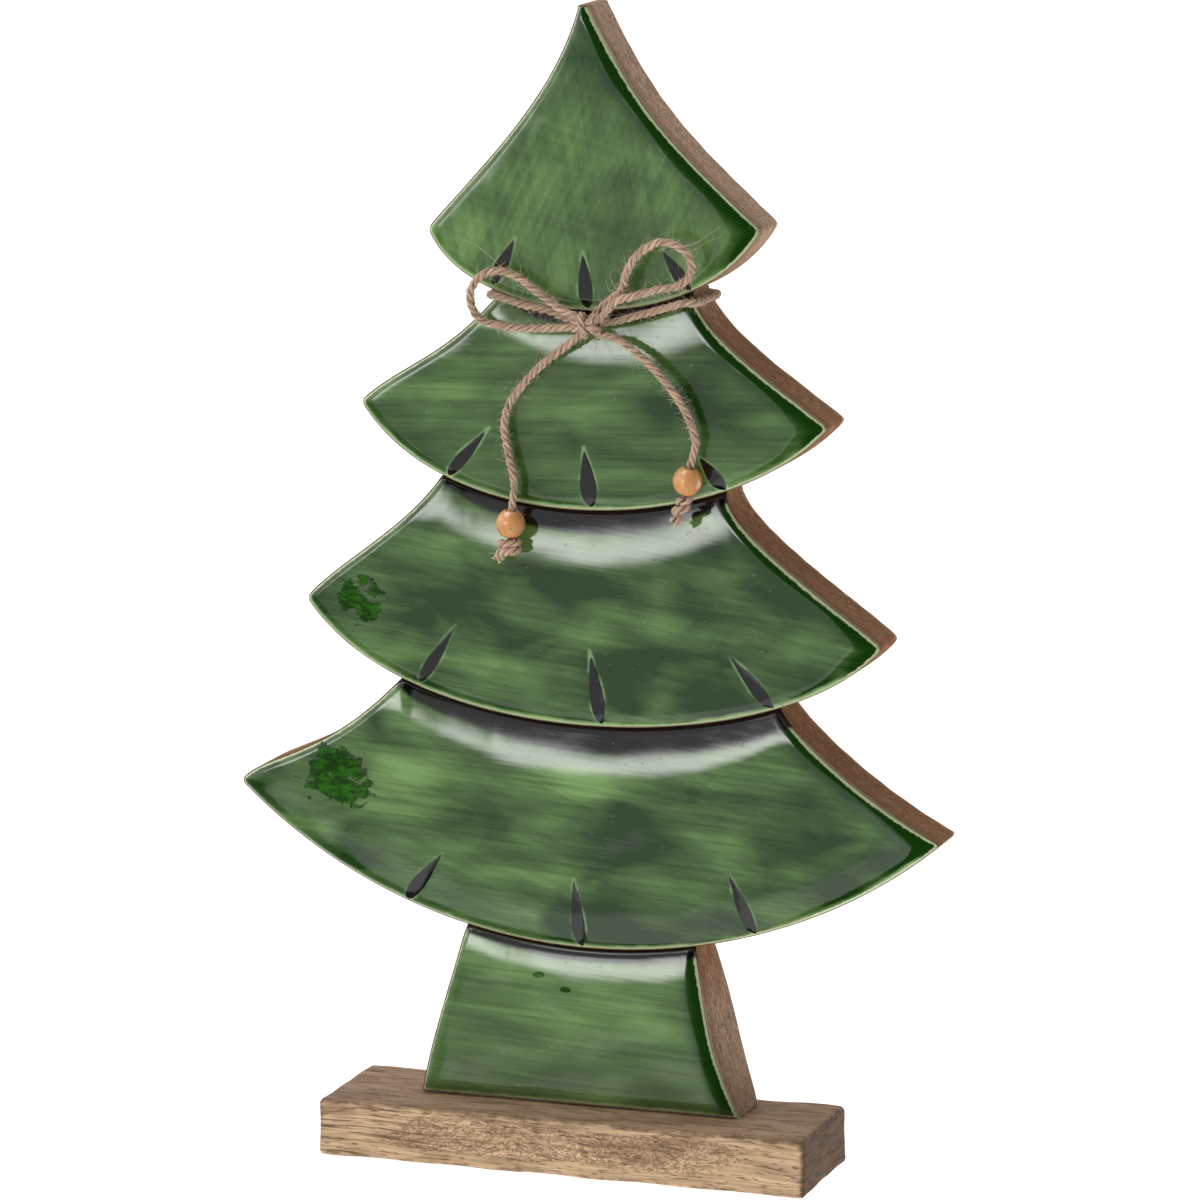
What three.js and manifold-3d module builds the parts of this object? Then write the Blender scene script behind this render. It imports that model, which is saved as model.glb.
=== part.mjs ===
// A carved wooden christmas tree on a plinth: one thick board with glossy enamel on the front of its four
// tiers and its trunk, a jute bow round its neck and a wooden bead on each hanging end of the twine.
// Millimetres, +Z up. The front faces -Y. The origin is the centre of the plinth's underside.

import * as THREE from "three";
import { mergeVertices } from "three/addons/utils/BufferGeometryUtils.js";
import Module from "manifold-3d";

const wasm = await Module();
wasm.setup();

// Driving dimensions

const plinth = { width: 176, depth: 51, height: 20, easing: 1.5, cornerRadius: 2.5 };

const board = {
  height: 379.5, // from the plinth to the apex
  width: 252.9, // from tip to tip of the bottom tier
  front: -4, // where the rim of the carved front lies
  thickness: 22,
  backEasing: 1.5,
  apexWidth: 3,
  tipCut: 2.5, // how far each pointed tip is rounded back along its two edges
  tongue: 10, // how far a tier runs up inside the one above it
  tongueWidth: 0.85, // and how wide it is there, as a share of its neck
};

const enamel = { thickness: 1.2, inset: 0.5, seat: 0.1, lipGap: 0.3 };

const relief = {
  swell: 2.2, // how proud of its rim a tier stands
  rounding: 5, // how far in from the rim it reaches that height
  coveDepth: 2.6, // how far the top of a tier dives under the lip above it
  coveReach: 14,
  coveFade: 20, // the cove is shallower this near to a flank
  coveAtFlank: 0.35,
};

const twine = { diameter: 2.8, clearance: 0.3, sides: 8 };
const bead = { diameter: 10, height: 9.2, bore: 3.8 };
const bowKnot = { x: 5.8, drop: 4.3, standOff: 6.8, width: 9.2, depth: 7.6, height: 8 };
const endKnot = {
  width: 6.6,
  height: 5.6,
  stubLength: 6,
  stubDiameter: 3.2,
  stubTaper: 0.8,
  stubRoot: 1.5, // how much of the stub is inside the knot
};
const screw = {
  spacing: 64,
  y: 7,
  length: 42,
  shank: 4,
  head: 8,
  headDepth: 2.4,
  recess: 1.5,
  clearance: 0.3,
};
const glueLine = 0.2;

// The front outline, tier by tier, as (x, z) over the plinth. It is drawn to its own scale, and fitted to the
// board's height and width. A flank runs from the neck, or the apex, through two bends to its tip, and a lip
// runs from tip to tip under the tier. A neck is where a flank starts on the lip above it. A notch's foot is
// its x on the lip, its lean is in degrees, and it narrows to a point at each end.
const tiers = [
  {
    name: "top",
    apex: [1.9, 379.5],
    left: { bends: [[-7.6, 348.6], [-34.7, 324.1]], tip: [-53.6, 302.4] },
    right: { bends: [[21.9, 343.2], [33, 334.3]], tip: [64.4, 306.4] },
    lip: [[-40.7, 269.7], [41.9, 265.4]],
    notches: [
      { foot: -29.9, rise: 2.1, lean: 27.4, length: 18.5, width: 4.7 },
      { foot: 4, rise: 0.6, lean: -4.6, length: 19.9, width: 5.1 },
      { foot: 40.2, rise: 0.6, lean: -36.4, length: 17, width: 4.7 },
    ],
  },
  {
    name: "upper",
    left: { neck: -28, bends: [[-47.1, 258.3], [-62.7, 256]], tip: [-78.4, 242] },
    right: { neck: 39.6, bends: [[44.3, 269], [72.4, 253]], tip: [88.4, 240.9] },
    lip: [[-47.3, 193.5], [54.4, 201.3]],
    notches: [
      { foot: -46.5, rise: 1, lean: 41.3, length: 23.2, width: 4.2 },
      { foot: 5.4, rise: 1.2, lean: -7.2, length: 20.8, width: 5.8 },
      { foot: 52.8, rise: 0.6, lean: -39.8, length: 14.7, width: 5 },
    ],
  },
  {
    name: "lower",
    left: { neck: -49.3, bends: [[-60.3, 199.4], [-86.3, 186.5]], tip: [-98.9, 172.4] },
    right: { neck: 51.8, bends: [[51.8, 203.1], [100.5, 174.8]], tip: [107.6, 167] },
    lip: [[-62.2, 118.8], [73.4, 125]],
    notches: [
      { foot: -56.9, rise: 2, lean: 32.7, length: 24.5, width: 4.2 },
      { foot: 9, rise: 1, lean: -8.9, length: 25.9, width: 5 },
      { foot: 70, rise: 0.6, lean: -41.4, length: 23.5, width: 4.6 },
    ],
  },
  {
    name: "bottom",
    left: { neck: -64.3, bends: [[-92.3, 115.5], [-114.1, 117.1]], tip: [-124.3, 105.9] },
    right: { neck: 71, bends: [[80.3, 132], [103.1, 113.6]], tip: [128.6, 101] },
    lip: [[-48.9, 35.6], [62.6, 43.7]],
    notches: [
      { foot: -62.7, rise: 0.6, lean: 38.6, length: 22.9, width: 4.8 },
      { foot: 1.5, rise: 0.6, lean: -5.8, length: 24.7, width: 4.8 },
      { foot: 63.8, rise: 0.6, lean: -23.6, length: 23, width: 4.4 },
    ],
  },
];
const trunk = {
  name: "trunk",
  left: { neck: -40.9, bends: [[-46.2, 40.6], [-53.6, 20.9]], foot: -57.3 },
  right: { neck: 41.6, bends: [[47.4, 33.8], [45.2, 25.9]], foot: 58.2 },
  notches: [],
};
const drawn = {
  height: tiers[0].apex[1],
  width: tiers.at(-1).right.tip[0] - tiers.at(-1).left.tip[0],
};
const notchDepth = 0.8;

// The twine lies in the nick between the top tier and the upper one, this far out from and below each neck.
const nick = { left: { out: 2.9, drop: 0.8 }, right: { out: 3.2, drop: 3.2 } };
const wrapTurn = 3.5; // radius of its turns round the board's edges

// Points that the strands pass through, from the middle of the bow's knot, chosen by eye
const wrapPoints = {
  left: [[-16, 4.3], [-25, 5.9]],
  right: [[8.2, 1.4], [17.7, 4.1], [28.2, 7.3]],
};
const loopPoints = {
  left: [
    [-7, -0.7, 4.1], [-16.3, -0.7, 9.8], [-24.1, -0.7, 15.2], [-30.3, -1.2, 17.4], [-36.6, -1.7, 15.9],
    [-40.9, -1.7, 10.6], [-41.1, -1.2, 5.3], [-38.1, -0.7, 0.6], [-30.7, -0.2, -1.4], [-20, -0.2, -1.9],
    [-9.3, -0.7, -1],
  ],
  right: [
    [9.3, -0.2, 10.1], [12.8, -2.2, 13.1], [15.1, -4.2, 18.8], [18.6, -5.2, 24.5], [23.7, -5.7, 28.7],
    [28.5, -5.7, 30.3], [34.5, -5.7, 28.5], [37.8, -5.2, 24.7], [37.7, -4.7, 19.9], [34, -4.4, 15.9],
    [25.5, -4.2, 13.8], [17.9, -4, 11.4], [11.4, -3.6, 9.3],
  ],
};
const tailPoints = {
  left: [
    [-5.4, -0.2, -5.6], [-15, 0.3, -12.9], [-22.3, 0.8, -20.1], [-28.3, 0.8, -28.4], [-30, 0.8, -35.3],
    [-28.7, 0.3, -44.2],
  ],
  right: [
    [10.4, -1.7, -3.5], [18.8, -2.2, -8.6], [25.9, -2.2, -15], [31.7, -2.2, -21.5], [36.2, -1.7, -29.2],
    [38.4, -1.2, -35.9],
  ],
};
// Which way each strand leaves the knot
const leaving = {
  wrap: { left: [-6, 3, 0.8], right: [8.8, 2.4, 1.9] },
  loopOut: { left: [-6, -1.4, 4.6], right: [3.2, 1.2, 5.2] },
  loopBack: { left: [-10, -2, -1.2], right: [6.5, -1.8, 3.8] },
  tail: { left: [-5.2, -0.5, -5.5], right: [6.5, -1.5, -3.6] },
};
// Where each bead hangs, from the middle of the bow's knot, and the way its twine runs up out of it. The
// twine is straight for some way over the bead, so that the bead can slide up.
const beadHang = {
  left: { at: [-27.3, -0.8, -68.8], up: [0.1, 0, 0.995], stub: [-0.66, 0, -0.75] },
  right: { at: [35.7, -1, -50.7], up: [0.218, 0, 0.976], stub: [-0.5, 0, -0.86] },
};
const beadTravel = 8;

// Materials

const finish = (color, roughness) => new THREE.MeshStandardMaterial({ color, roughness, metalness: 0 });
const boardWood = finish(0x8f6b55, 0.65);
const plinthWood = finish(0xa98663, 0.6);
const greenEnamel = finish(0x2e6b34, 0.12);
const jute = finish(0xa5835f, 0.95);
const beadWood = finish(0xc98645, 0.4);
const steel = new THREE.MeshStandardMaterial({ color: 0x8c8f92, roughness: 0.4, metalness: 1 });

// Small helpers

const flat = ([x, z]) => new THREE.Vector2(x, z);
const point = ([x, y, z]) => new THREE.Vector3(x, y, z);
const mix = (a, b, t) => a + (b - a) * t;
const sides = ["left", "right"];
const boardBack = board.front + board.thickness;

// A point of the outline, on the board
const onBoard = ([x, z]) =>
  flat([(x / drawn.width) * board.width, plinth.height + (z / drawn.height) * board.height]);

function solidOf(geometry) {
  const bare = new THREE.BufferGeometry();
  bare.setAttribute("position", geometry.getAttribute("position"));
  bare.setIndex(geometry.index);
  const merged = mergeVertices(bare, 1e-4);
  return new wasm.Manifold(
    new wasm.Mesh({
      numProp: 3,
      vertProperties: new Float32Array(merged.attributes.position.array),
      triVerts: new Uint32Array(merged.index.array),
    }),
  );
}

function geometryOf(solid) {
  const mesh = solid.getMesh();
  const geometry = new THREE.BufferGeometry();
  geometry.setAttribute("position", new THREE.BufferAttribute(mesh.vertProperties, 3));
  geometry.setIndex(new THREE.BufferAttribute(mesh.triVerts, 1));
  geometry.computeVertexNormals();
  return geometry;
}

function geometryFrom(vertices, faces) {
  const geometry = new THREE.BufferGeometry();
  geometry.setAttribute("position", new THREE.Float32BufferAttribute(vertices.flat(), 3));
  geometry.setIndex(faces.flat());
  geometry.computeVertexNormals();
  return geometry;
}

function piece(name, geometry, material) {
  const mesh = new THREE.Mesh(geometry, material);
  mesh.name = name;
  return mesh;
}

// The point of a curve where it has this x, for a curve that runs from left to right
function pointAtX(curve, x) {
  let low = 0;
  let high = 1;
  const halvings = 40;
  for (let i = 0; i < halvings; i++) {
    const middle = (low + high) / 2;
    if (curve.getPoint(middle).x < x) low = middle;
    else high = middle;
  }
  return curve.getPoint(low);
}

// A patch of the carved front: one tier, or the trunk. place(u, v) gives (x, z), where u runs from the left
// flank to the right one and v from the top of the patch down to its lip, and front(u, v) gives y.
function makePatch(shape, above) {
  const tip = (side) => {
    if (shape[side].tip) return onBoard(shape[side].tip);
    return onBoard([shape[side].foot, 0]).add(flat([0, glueLine]));
  };
  const start = (side) => {
    if (above) return pointAtX(above.lip, onBoard([shape[side].neck, 0]).x);
    const half = side === "left" ? -board.apexWidth / 2 : board.apexWidth / 2;
    return onBoard(shape.apex).add(flat([half, 0]));
  };
  const flanks = {};
  for (const side of sides) {
    flanks[side] = new THREE.CubicBezierCurve(start(side), ...shape[side].bends.map(onBoard), tip(side));
  }
  const lip = shape.lip
    ? new THREE.CubicBezierCurve(tip("left"), ...shape.lip.map(onBoard), tip("right"))
    : new THREE.LineCurve(tip("left"), tip("right"));
  const middle = pointAtX(lip, (tip("left").x + tip("right").x) / 2);
  const height = start("left").y - middle.y;
  const cut = shape.lip ? board.tipCut : 0;
  const flankEnd = 1 - cut / height;

  const top = (u) => {
    const x = mix(start("left").x, start("right").x, u);
    return above ? pointAtX(above.lip, x) : flat([x, start("left").y]);
  };
  const lipCut = cut / lip.getLength();
  const bottom = (u) => lip.getPointAt(mix(lipCut, 1 - lipCut, u));
  const edge = (side, v) => {
    const flank = flanks[side];
    const reach = 1 - cut / flank.getLength();
    if (v <= flankEnd) return flank.getPointAt((v / flankEnd) * reach);
    const from = flank.getPointAt(reach);
    const to = bottom(side === "left" ? 0 : 1);
    return new THREE.QuadraticBezierCurve(from, tip(side), to).getPoint((v - flankEnd) / (1 - flankEnd));
  };
  const width = (v) => edge("left", v).distanceTo(edge("right", v));

  function place(u, v) {
    const across = edge("left", v).multiplyScalar(1 - u).add(edge("right", v).multiplyScalar(u));
    const down = top(u).multiplyScalar(1 - v).add(bottom(u).multiplyScalar(v));
    const corners = top(0).multiplyScalar((1 - u) * (1 - v));
    corners.add(top(1).multiplyScalar(u * (1 - v)));
    corners.add(bottom(0).multiplyScalar((1 - u) * v));
    corners.add(bottom(1).multiplyScalar(u * v));
    return across.add(down).sub(corners);
  }

  function front(u, v) {
    const rise = (distance) => 1 - (1 - Math.min(distance / relief.rounding, 1)) ** 2;
    const sideways = Math.min(u, 1 - u) * width(v);
    const swell = relief.swell * rise(sideways) * rise((1 - v) * height);
    if (!above) return board.front - swell;
    const dive = (1 - Math.min((v * height) / relief.coveReach, 1)) ** 2;
    const fade = mix(relief.coveAtFlank, 1, Math.min(sideways / relief.coveFade, 1));
    return board.front - swell * (1 - dive) + relief.coveDepth * dive * fade;
  }
  return { shape, above, lip, height, width, place, front, start };
}

// The grid that a patch is drawn on. Its lines crowd towards the rim, where the relief turns.
const rimLines = [0, enamel.inset, 2.2, relief.rounding];
const coveLines = [0, enamel.lipGap, 3.5, 8];
const apexLines = [0, 3, 8];
const crowding = 30; // a row narrower than this has its rim lines drawn in with it
const cells = { acrossTier: 10, acrossTrunk: 7, down: 3 }; // between the crowded lines

function linesBetween(from, to, count) {
  return Array.from({ length: count - 1 }, (_, i) => mix(from, to, (i + 1) / count));
}

function gridOf(patch, acrossCells, downCells) {
  const nearTop = (patch.above ? coveLines : apexLines).map((d) => d / patch.height);
  const nearLip = rimLines.map((d) => 1 - d / patch.height).reverse();
  const rows = [...nearTop, ...linesBetween(nearTop.at(-1), nearLip[0], downCells), ...nearLip];
  return rows.map((v) => {
    const width = patch.width(v);
    const near = rimLines.map((d) => (d * Math.min(1, width / crowding)) / width);
    const far = near.map((u) => 1 - u).reverse();
    const columns = [...near, ...linesBetween(near.at(-1), far[0], acrossCells), ...far];
    return columns.map((u) => {
      const spot = patch.place(u, v);
      return [spot.x, patch.front(u, v), spot.y];
    });
  });
}

// The rim of a grid, anticlockwise as seen from the front
function rimOf(grid) {
  const last = grid.length - 1;
  const left = grid.map((row) => row[0]);
  const right = grid.map((row) => row.at(-1)).reverse();
  return [...left, ...grid[last].slice(1), ...right.slice(1), ...grid[0].slice(1, -1).reverse()];
}

function gridFaces(grid, indexOf, facingFront) {
  const faces = [];
  for (let j = 0; j + 1 < grid.length; j++) {
    for (let i = 0; i + 1 < grid[j].length; i++) {
      const [a, b] = [indexOf(i, j), indexOf(i + 1, j)];
      const [c, d] = [indexOf(i, j + 1), indexOf(i + 1, j + 1)];
      faces.push(facingFront ? [a, c, d] : [a, d, c], facingFront ? [a, d, b] : [a, b, d]);
    }
  }
  return faces;
}

function wallFaces(front, back) {
  const faces = [];
  front.forEach((a, i) => {
    const next = (i + 1) % front.length;
    faces.push([a, back[i], front[next]], [front[next], back[i], back[next]]);
  });
  return faces;
}

// The rim moved inwards by a distance, at a depth
function easedLoop(loop, inwards, y) {
  return loop.map(([x, , z], i) => {
    const [beforeX, , beforeZ] = loop.at(i - 1);
    const [afterX, , afterZ] = loop[(i + 1) % loop.length];
    const along = flat([afterX - beforeX, afterZ - beforeZ]).normalize();
    return [x - along.y * inwards, y, z + along.x * inwards];
  });
}

// The flat back of a patch inside its rim: rungs from flank to flank, with a fan to the top and to the lip
function backFaces(loop, rows, columns) {
  const leftAt = (j) => loop[j];
  const lipAt = (i) => loop[rows - 1 + i];
  const rightAt = (j) => loop[2 * rows + columns - 3 - j];
  const topAt = (i) => (i === 0 ? loop[0] : loop[loop.length - i]);
  const faces = [];
  for (let j = 1; j + 2 < rows; j++) {
    faces.push([leftAt(j), rightAt(j + 1), leftAt(j + 1)], [leftAt(j), rightAt(j), rightAt(j + 1)]);
  }
  for (let i = 0; i + 1 < columns; i++) {
    faces.push([leftAt(1), topAt(i), topAt(i + 1)]);
    faces.push([leftAt(rows - 2), lipAt(i + 1), lipAt(i)]);
  }
  faces.push([leftAt(1), rightAt(0), rightAt(1)]);
  faces.push([leftAt(rows - 2), rightAt(rows - 2), rightAt(rows - 1)]);
  return faces;
}

// The wood of one patch: its carved front lies under the enamel, apart from a narrow rim, and it runs up
// inside the tier above.
function woodSolid(patch, grid) {
  const depth = enamel.thickness + enamel.seat;
  const lastRow = grid.length - 1;
  const front = grid.map((row, j) =>
    row.map(([x, y, z], i) => {
      const isRim = i === 0 || i === row.length - 1 || j === lastRow || (j === 0 && !patch.above);
      return [x, isRim ? y : y + depth, z];
    }),
  );
  const columns = front[0].length;
  if (patch.above) {
    const [left, right] = [front[0][0], front[0].at(-1)];
    const middle = (left[0] + right[0]) / 2;
    const tongue = front[0].map(([x, y], i) => [
      mix(middle, x, board.tongueWidth),
      y + depth,
      mix(left[2], right[2], i / (columns - 1)) + board.tongue,
    ]);
    front.unshift(tongue);
  }
  const vertices = front.flat();
  const indexOf = (i, j) => j * columns + i;
  const faces = gridFaces(front, indexOf, true);

  let edgeLoop = rimOf(front.map((row, j) => row.map((_, i) => indexOf(i, j))));
  const rim = edgeLoop.map((index) => vertices[index]);
  const layers = [easedLoop(rim, 0, boardBack - board.backEasing), easedLoop(rim, board.backEasing, boardBack)];
  for (const layer of layers) {
    const loop = layer.map((_, i) => vertices.length + i);
    vertices.push(...layer);
    faces.push(...wallFaces(edgeLoop, loop));
    edgeLoop = loop;
  }
  faces.push(...backFaces(edgeLoop, front.length, columns));
  return solidOf(geometryFrom(vertices, faces));
}

// The enamel of one patch: the grid without its outer lines, as a shell of even thickness
function enamelSolid(grid) {
  const front = grid.slice(1, -1).map((row) => row.slice(1, -1));
  const columns = front[0].length;
  const count = front.length * columns;
  const vertices = [...front.flat(), ...front.flat().map(([x, y, z]) => [x, y + enamel.thickness, z])];
  const indexOf = (i, j) => j * columns + i;
  const behind = (i, j) => count + indexOf(i, j);
  const rim = rimOf(front.map((row, j) => row.map((_, i) => indexOf(i, j))));
  const faces = [
    ...gridFaces(front, indexOf, true),
    ...gridFaces(front, behind, false),
    ...wallFaces(rim, rim.map((index) => index + count)),
  ];
  return solidOf(geometryFrom(vertices, faces));
}

// The place of (x, z) on a patch, found by a few steps of Newton's method
function locate(patch, x, z) {
  let u = 0.5;
  let v = 0.8;
  const step = 1e-3;
  for (let i = 0; i < 12; i++) {
    const here = patch.place(u, v);
    const alongU = patch.place(u + step, v).sub(here).divideScalar(step);
    const alongV = patch.place(u, v - step).sub(here).divideScalar(-step);
    const [dx, dz] = [x - here.x, z - here.y];
    const det = alongU.x * alongV.y - alongU.y * alongV.x;
    u = THREE.MathUtils.clamp(u + (dx * alongV.y - dz * alongV.x) / det, 0, 1);
    v = THREE.MathUtils.clamp(v + (alongU.x * dz - alongU.y * dx) / det, step, 1);
  }
  return [u, v];
}

// A V-shaped cutter along a notch, pointed at both ends and widest towards its foot
function notchCutter(patch, { foot, rise, lean, length, width }) {
  const lift = 0.6; // how far the cutter stands out of the enamel
  const stations = 8;
  const lowness = 0.75; // under 1, its widest place lies below its middle
  const thinning = 0.25; // how much it narrows on its way up, besides
  const turned = THREE.MathUtils.degToRad(lean);
  const along = flat([Math.sin(turned), Math.cos(turned)]);
  const across = flat([along.y, -along.x]);
  const base = pointAtX(patch.lip, onBoard([foot, 0]).x).add(flat([0, rise]));
  const widening = (notchDepth + lift) / notchDepth;
  const surfaceAt = (spot) => patch.front(...locate(patch, spot.x, spot.y));
  const rings = [];
  for (let k = 0; k <= stations; k++) {
    const s = k / stations;
    const bulge = Math.sin(Math.PI * s ** lowness) * (1 - thinning * s);
    const centre = base.clone().addScaledVector(along, s * length);
    const half = (width / 2) * bulge * widening;
    const side = (sign) => {
      const spot = centre.clone().addScaledVector(across, sign * half);
      return [spot.x, surfaceAt(spot) - lift * bulge, spot.y];
    };
    rings.push([side(-1), side(1), [centre.x, surfaceAt(centre) + notchDepth * bulge, centre.y]]);
  }
  const inner = rings.slice(1, -1);
  const ends = [rings[0][2], rings.at(-1)[2]];
  const vertices = [...inner.flat(), ...ends];
  const [first, last] = [vertices.length - 2, vertices.length - 1];
  const faces = [];
  for (let k = 0; k + 1 < inner.length; k++) {
    for (let i = 0; i < 3; i++) {
      const j = (i + 1) % 3;
      const [a, b, c, d] = [3 * k + i, 3 * k + j, 3 * k + 3 + i, 3 * k + 3 + j];
      faces.push([a, b, c], [b, d, c]);
    }
  }
  const tail = 3 * (inner.length - 1);
  for (let i = 0; i < 3; i++) {
    const j = (i + 1) % 3;
    faces.push([first, j, i], [last, tail + i, tail + j]);
  }
  return solidOf(geometryFrom(vertices, faces));
}

// Screws, up through the plinth into the foot of the trunk

// A screw's outline, grown by a clearance, with its head's face at the given height
function screwProfile(grow, headFace) {
  const neck = screw.recess + screw.headDepth;
  const end = screw.recess + screw.length;
  return [
    [0, headFace],
    [screw.head / 2 + grow, headFace],
    [screw.head / 2 + grow, screw.recess],
    [screw.shank / 2 + grow, neck],
    [screw.shank / 2 + grow, end - screw.shank],
    [0, end + grow],
  ].map(flat);
}

function turnedUp(profile, segments) {
  return new THREE.LatheGeometry(profile, segments).rotateX(Math.PI / 2);
}

function placedAt(geometry, x, y, z) {
  return geometry.clone().translate(x, y, z);
}

const screwSides = 16;
const screwX = { left: -screw.spacing / 2, right: screw.spacing / 2 };
const screwSpace = turnedUp(screwProfile(screw.clearance, -1), screwSides);
const headRim = 0.6;

function screwSolid(side) {
  const driveSlot = { length: 4.6, width: 1, depth: 1.2 };
  let solid = solidOf(turnedUp(screwProfile(0, screw.recess - headRim), screwSides));
  for (const [x, y] of [[driveSlot.length, driveSlot.width], [driveSlot.width, driveSlot.length]]) {
    const slot = new THREE.BoxGeometry(x, y, 2 * driveSlot.depth);
    solid = solid.subtract(solidOf(slot.translate(0, 0, screw.recess - headRim)));
  }
  return geometryOf(solid).translate(screwX[side], screw.y, 0);
}

function plinthSolid() {
  const { width, depth, height, easing, cornerRadius } = plinth;
  const [halfWidth, halfDepth] = [width / 2 - easing, depth / 2 - easing];
  const outline = new THREE.Shape();
  const corners = [[1, -1, -90], [1, 1, 0], [-1, 1, 90], [-1, -1, 180]];
  for (const [x, y, from] of corners) {
    outline.absarc(
      x * (halfWidth - cornerRadius),
      y * (halfDepth - cornerRadius),
      cornerRadius,
      THREE.MathUtils.degToRad(from),
      THREE.MathUtils.degToRad(from + 90),
    );
  }
  const block = new THREE.ExtrudeGeometry(outline, {
    depth: height - 2 * easing,
    bevelThickness: easing,
    bevelSize: easing,
    bevelSegments: 3,
    curveSegments: 3,
  });
  let solid = solidOf(block.translate(0, 0, easing));
  for (const side of sides) solid = solid.subtract(solidOf(placedAt(screwSpace, screwX[side], screw.y, 0)));
  return geometryOf(solid);
}

// Twine

// A path with one station for each ring of its tube
class StationPath extends THREE.Curve {
  constructor(stations) {
    super();
    this.stations = stations;
  }
  getPoint(t, target = new THREE.Vector3()) {
    const last = this.stations.length - 1;
    const k = Math.min(Math.floor(t * last + 1e-9), last - 1);
    return target.lerpVectors(this.stations[k], this.stations[k + 1], t * last - k);
  }
  getPointAt(t, target) {
    return this.getPoint(t, target);
  }
  getTangentAt(t, target = new THREE.Vector3()) {
    const last = this.stations.length - 1;
    const k = Math.round(t * last);
    const after = this.stations[Math.min(k + 1, last)];
    return target.copy(after).sub(this.stations[Math.max(k - 1, 0)]).normalize();
  }
}

function strand(stations) {
  const section = new THREE.Shape();
  for (let i = 0; i < twine.sides; i++) {
    const turned = (2 * Math.PI * i) / twine.sides;
    const [x, y] = [Math.cos(turned), Math.sin(turned)].map((c) => (c * twine.diameter) / 2);
    if (i === 0) section.moveTo(x, y);
    else section.lineTo(x, y);
  }
  section.closePath();
  return new THREE.ExtrudeGeometry(section, {
    steps: stations.length - 1,
    bevelEnabled: false,
    extrudePath: new StationPath(stations),
  });
}

const patches = [];
for (const shape of [...tiers, trunk]) patches.push(makePatch(shape, patches.at(-1)));
const [topPatch, upperPatch] = patches;

const knotCentre = point([
  bowKnot.x,
  board.front - bowKnot.standOff,
  pointAtX(topPatch.lip, bowKnot.x).y - bowKnot.drop,
]);
const fromKnot = (offset) => point(offset).add(knotCentre);

// Two stations just off the knot, square to its surface as near as an egg shape allows
function knotExit(direction) {
  const way = point(direction).normalize();
  const radii = [bowKnot.width, bowKnot.depth, bowKnot.height].map((size) => size / 2);
  const reach = 1 / Math.hypot(way.x / radii[0], way.y / radii[1], way.z / radii[2]);
  const lead = 1.6;
  return [twine.clearance, twine.clearance + lead].map((gap) =>
    knotCentre.clone().addScaledVector(way, reach + gap),
  );
}

function smoothStations(points, count) {
  return new THREE.CatmullRomCurve3(points, false, "centripetal").getSpacedPoints(count);
}

function quarterTurn(centreX, centreY, fromDegrees, z) {
  return [0, 30, 60, 90].map((degrees) => {
    const turned = THREE.MathUtils.degToRad(fromDegrees + degrees);
    return point([centreX + wrapTurn * Math.cos(turned), centreY + wrapTurn * Math.sin(turned), z]);
  });
}

// Once round the neck, from the left of the knot by way of the back to its right
function wrapStations() {
  const clear = twine.diameter / 2 + twine.clearance;
  const frontY = board.front - relief.swell - clear;
  const backY = boardBack + clear;
  const seatAt = (side) => {
    const neck = upperPatch.start(side);
    const outwards = side === "left" ? -nick[side].out : nick[side].out;
    return { x: neck.x + outwards, z: neck.y - nick[side].drop };
  };
  const [left, right] = [seatAt("left"), seatAt("right")];
  const frontPoint = ([x, z]) => point([knotCentre.x + x, frontY, knotCentre.z + z]);
  const middleY = (frontY + backY) / 2;
  const stations = [
    ...knotExit(leaving.wrap.left),
    ...wrapPoints.left.map(frontPoint),
    ...quarterTurn(left.x + wrapTurn, frontY + wrapTurn, 180, left.z).reverse(),
    point([left.x, middleY, left.z]),
    ...quarterTurn(left.x + wrapTurn, backY - wrapTurn, 90, left.z).reverse(),
    ...[0.25, 0.5, 0.75].map((t) => point([mix(left.x, right.x, t), backY, mix(left.z, right.z, t)])),
    ...quarterTurn(right.x - wrapTurn, backY - wrapTurn, 0, right.z).reverse(),
    point([right.x, middleY, right.z]),
    ...quarterTurn(right.x - wrapTurn, frontY + wrapTurn, -90, right.z).reverse(),
    ...wrapPoints.right.map(frontPoint).reverse(),
    ...knotExit(leaving.wrap.right).reverse(),
  ];
  return stations;
}

function loopStations(side) {
  const steps = 22;
  return smoothStations(
    [
      ...knotExit(leaving.loopOut[side]),
      ...loopPoints[side].map(fromKnot),
      ...knotExit(leaving.loopBack[side]).reverse(),
    ],
    steps,
  );
}

// Bead, end knot and tail share one line: up it the twine is straight, and down it the knot stops the bead
function hangOf(side) {
  const up = point(beadHang[side].up).normalize();
  const centre = fromKnot(beadHang[side].at);
  const along = (distance) => centre.clone().addScaledVector(up, distance);
  const under = -bead.height / 2 - twine.clearance;
  return {
    up,
    centre,
    knot: along(under - endKnot.height / 2),
    tailEnd: along(under),
    straightFrom: along(bead.height / 2 + beadTravel + 1),
    straightOn: along(bead.height / 2 + bead.height / 5),
  };
}

function tailStations(side) {
  const steps = 15;
  const { tailEnd, straightFrom, straightOn } = hangOf(side);
  const curved = [...knotExit(leaving.tail[side]), ...tailPoints[side].map(fromKnot), straightFrom, straightOn];
  return [...smoothStations(curved, steps), tailEnd];
}

function egg(width, depth, height) {
  return new THREE.SphereGeometry(0.5, 14, 10).rotateX(Math.PI / 2).scale(width, depth, height);
}

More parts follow.
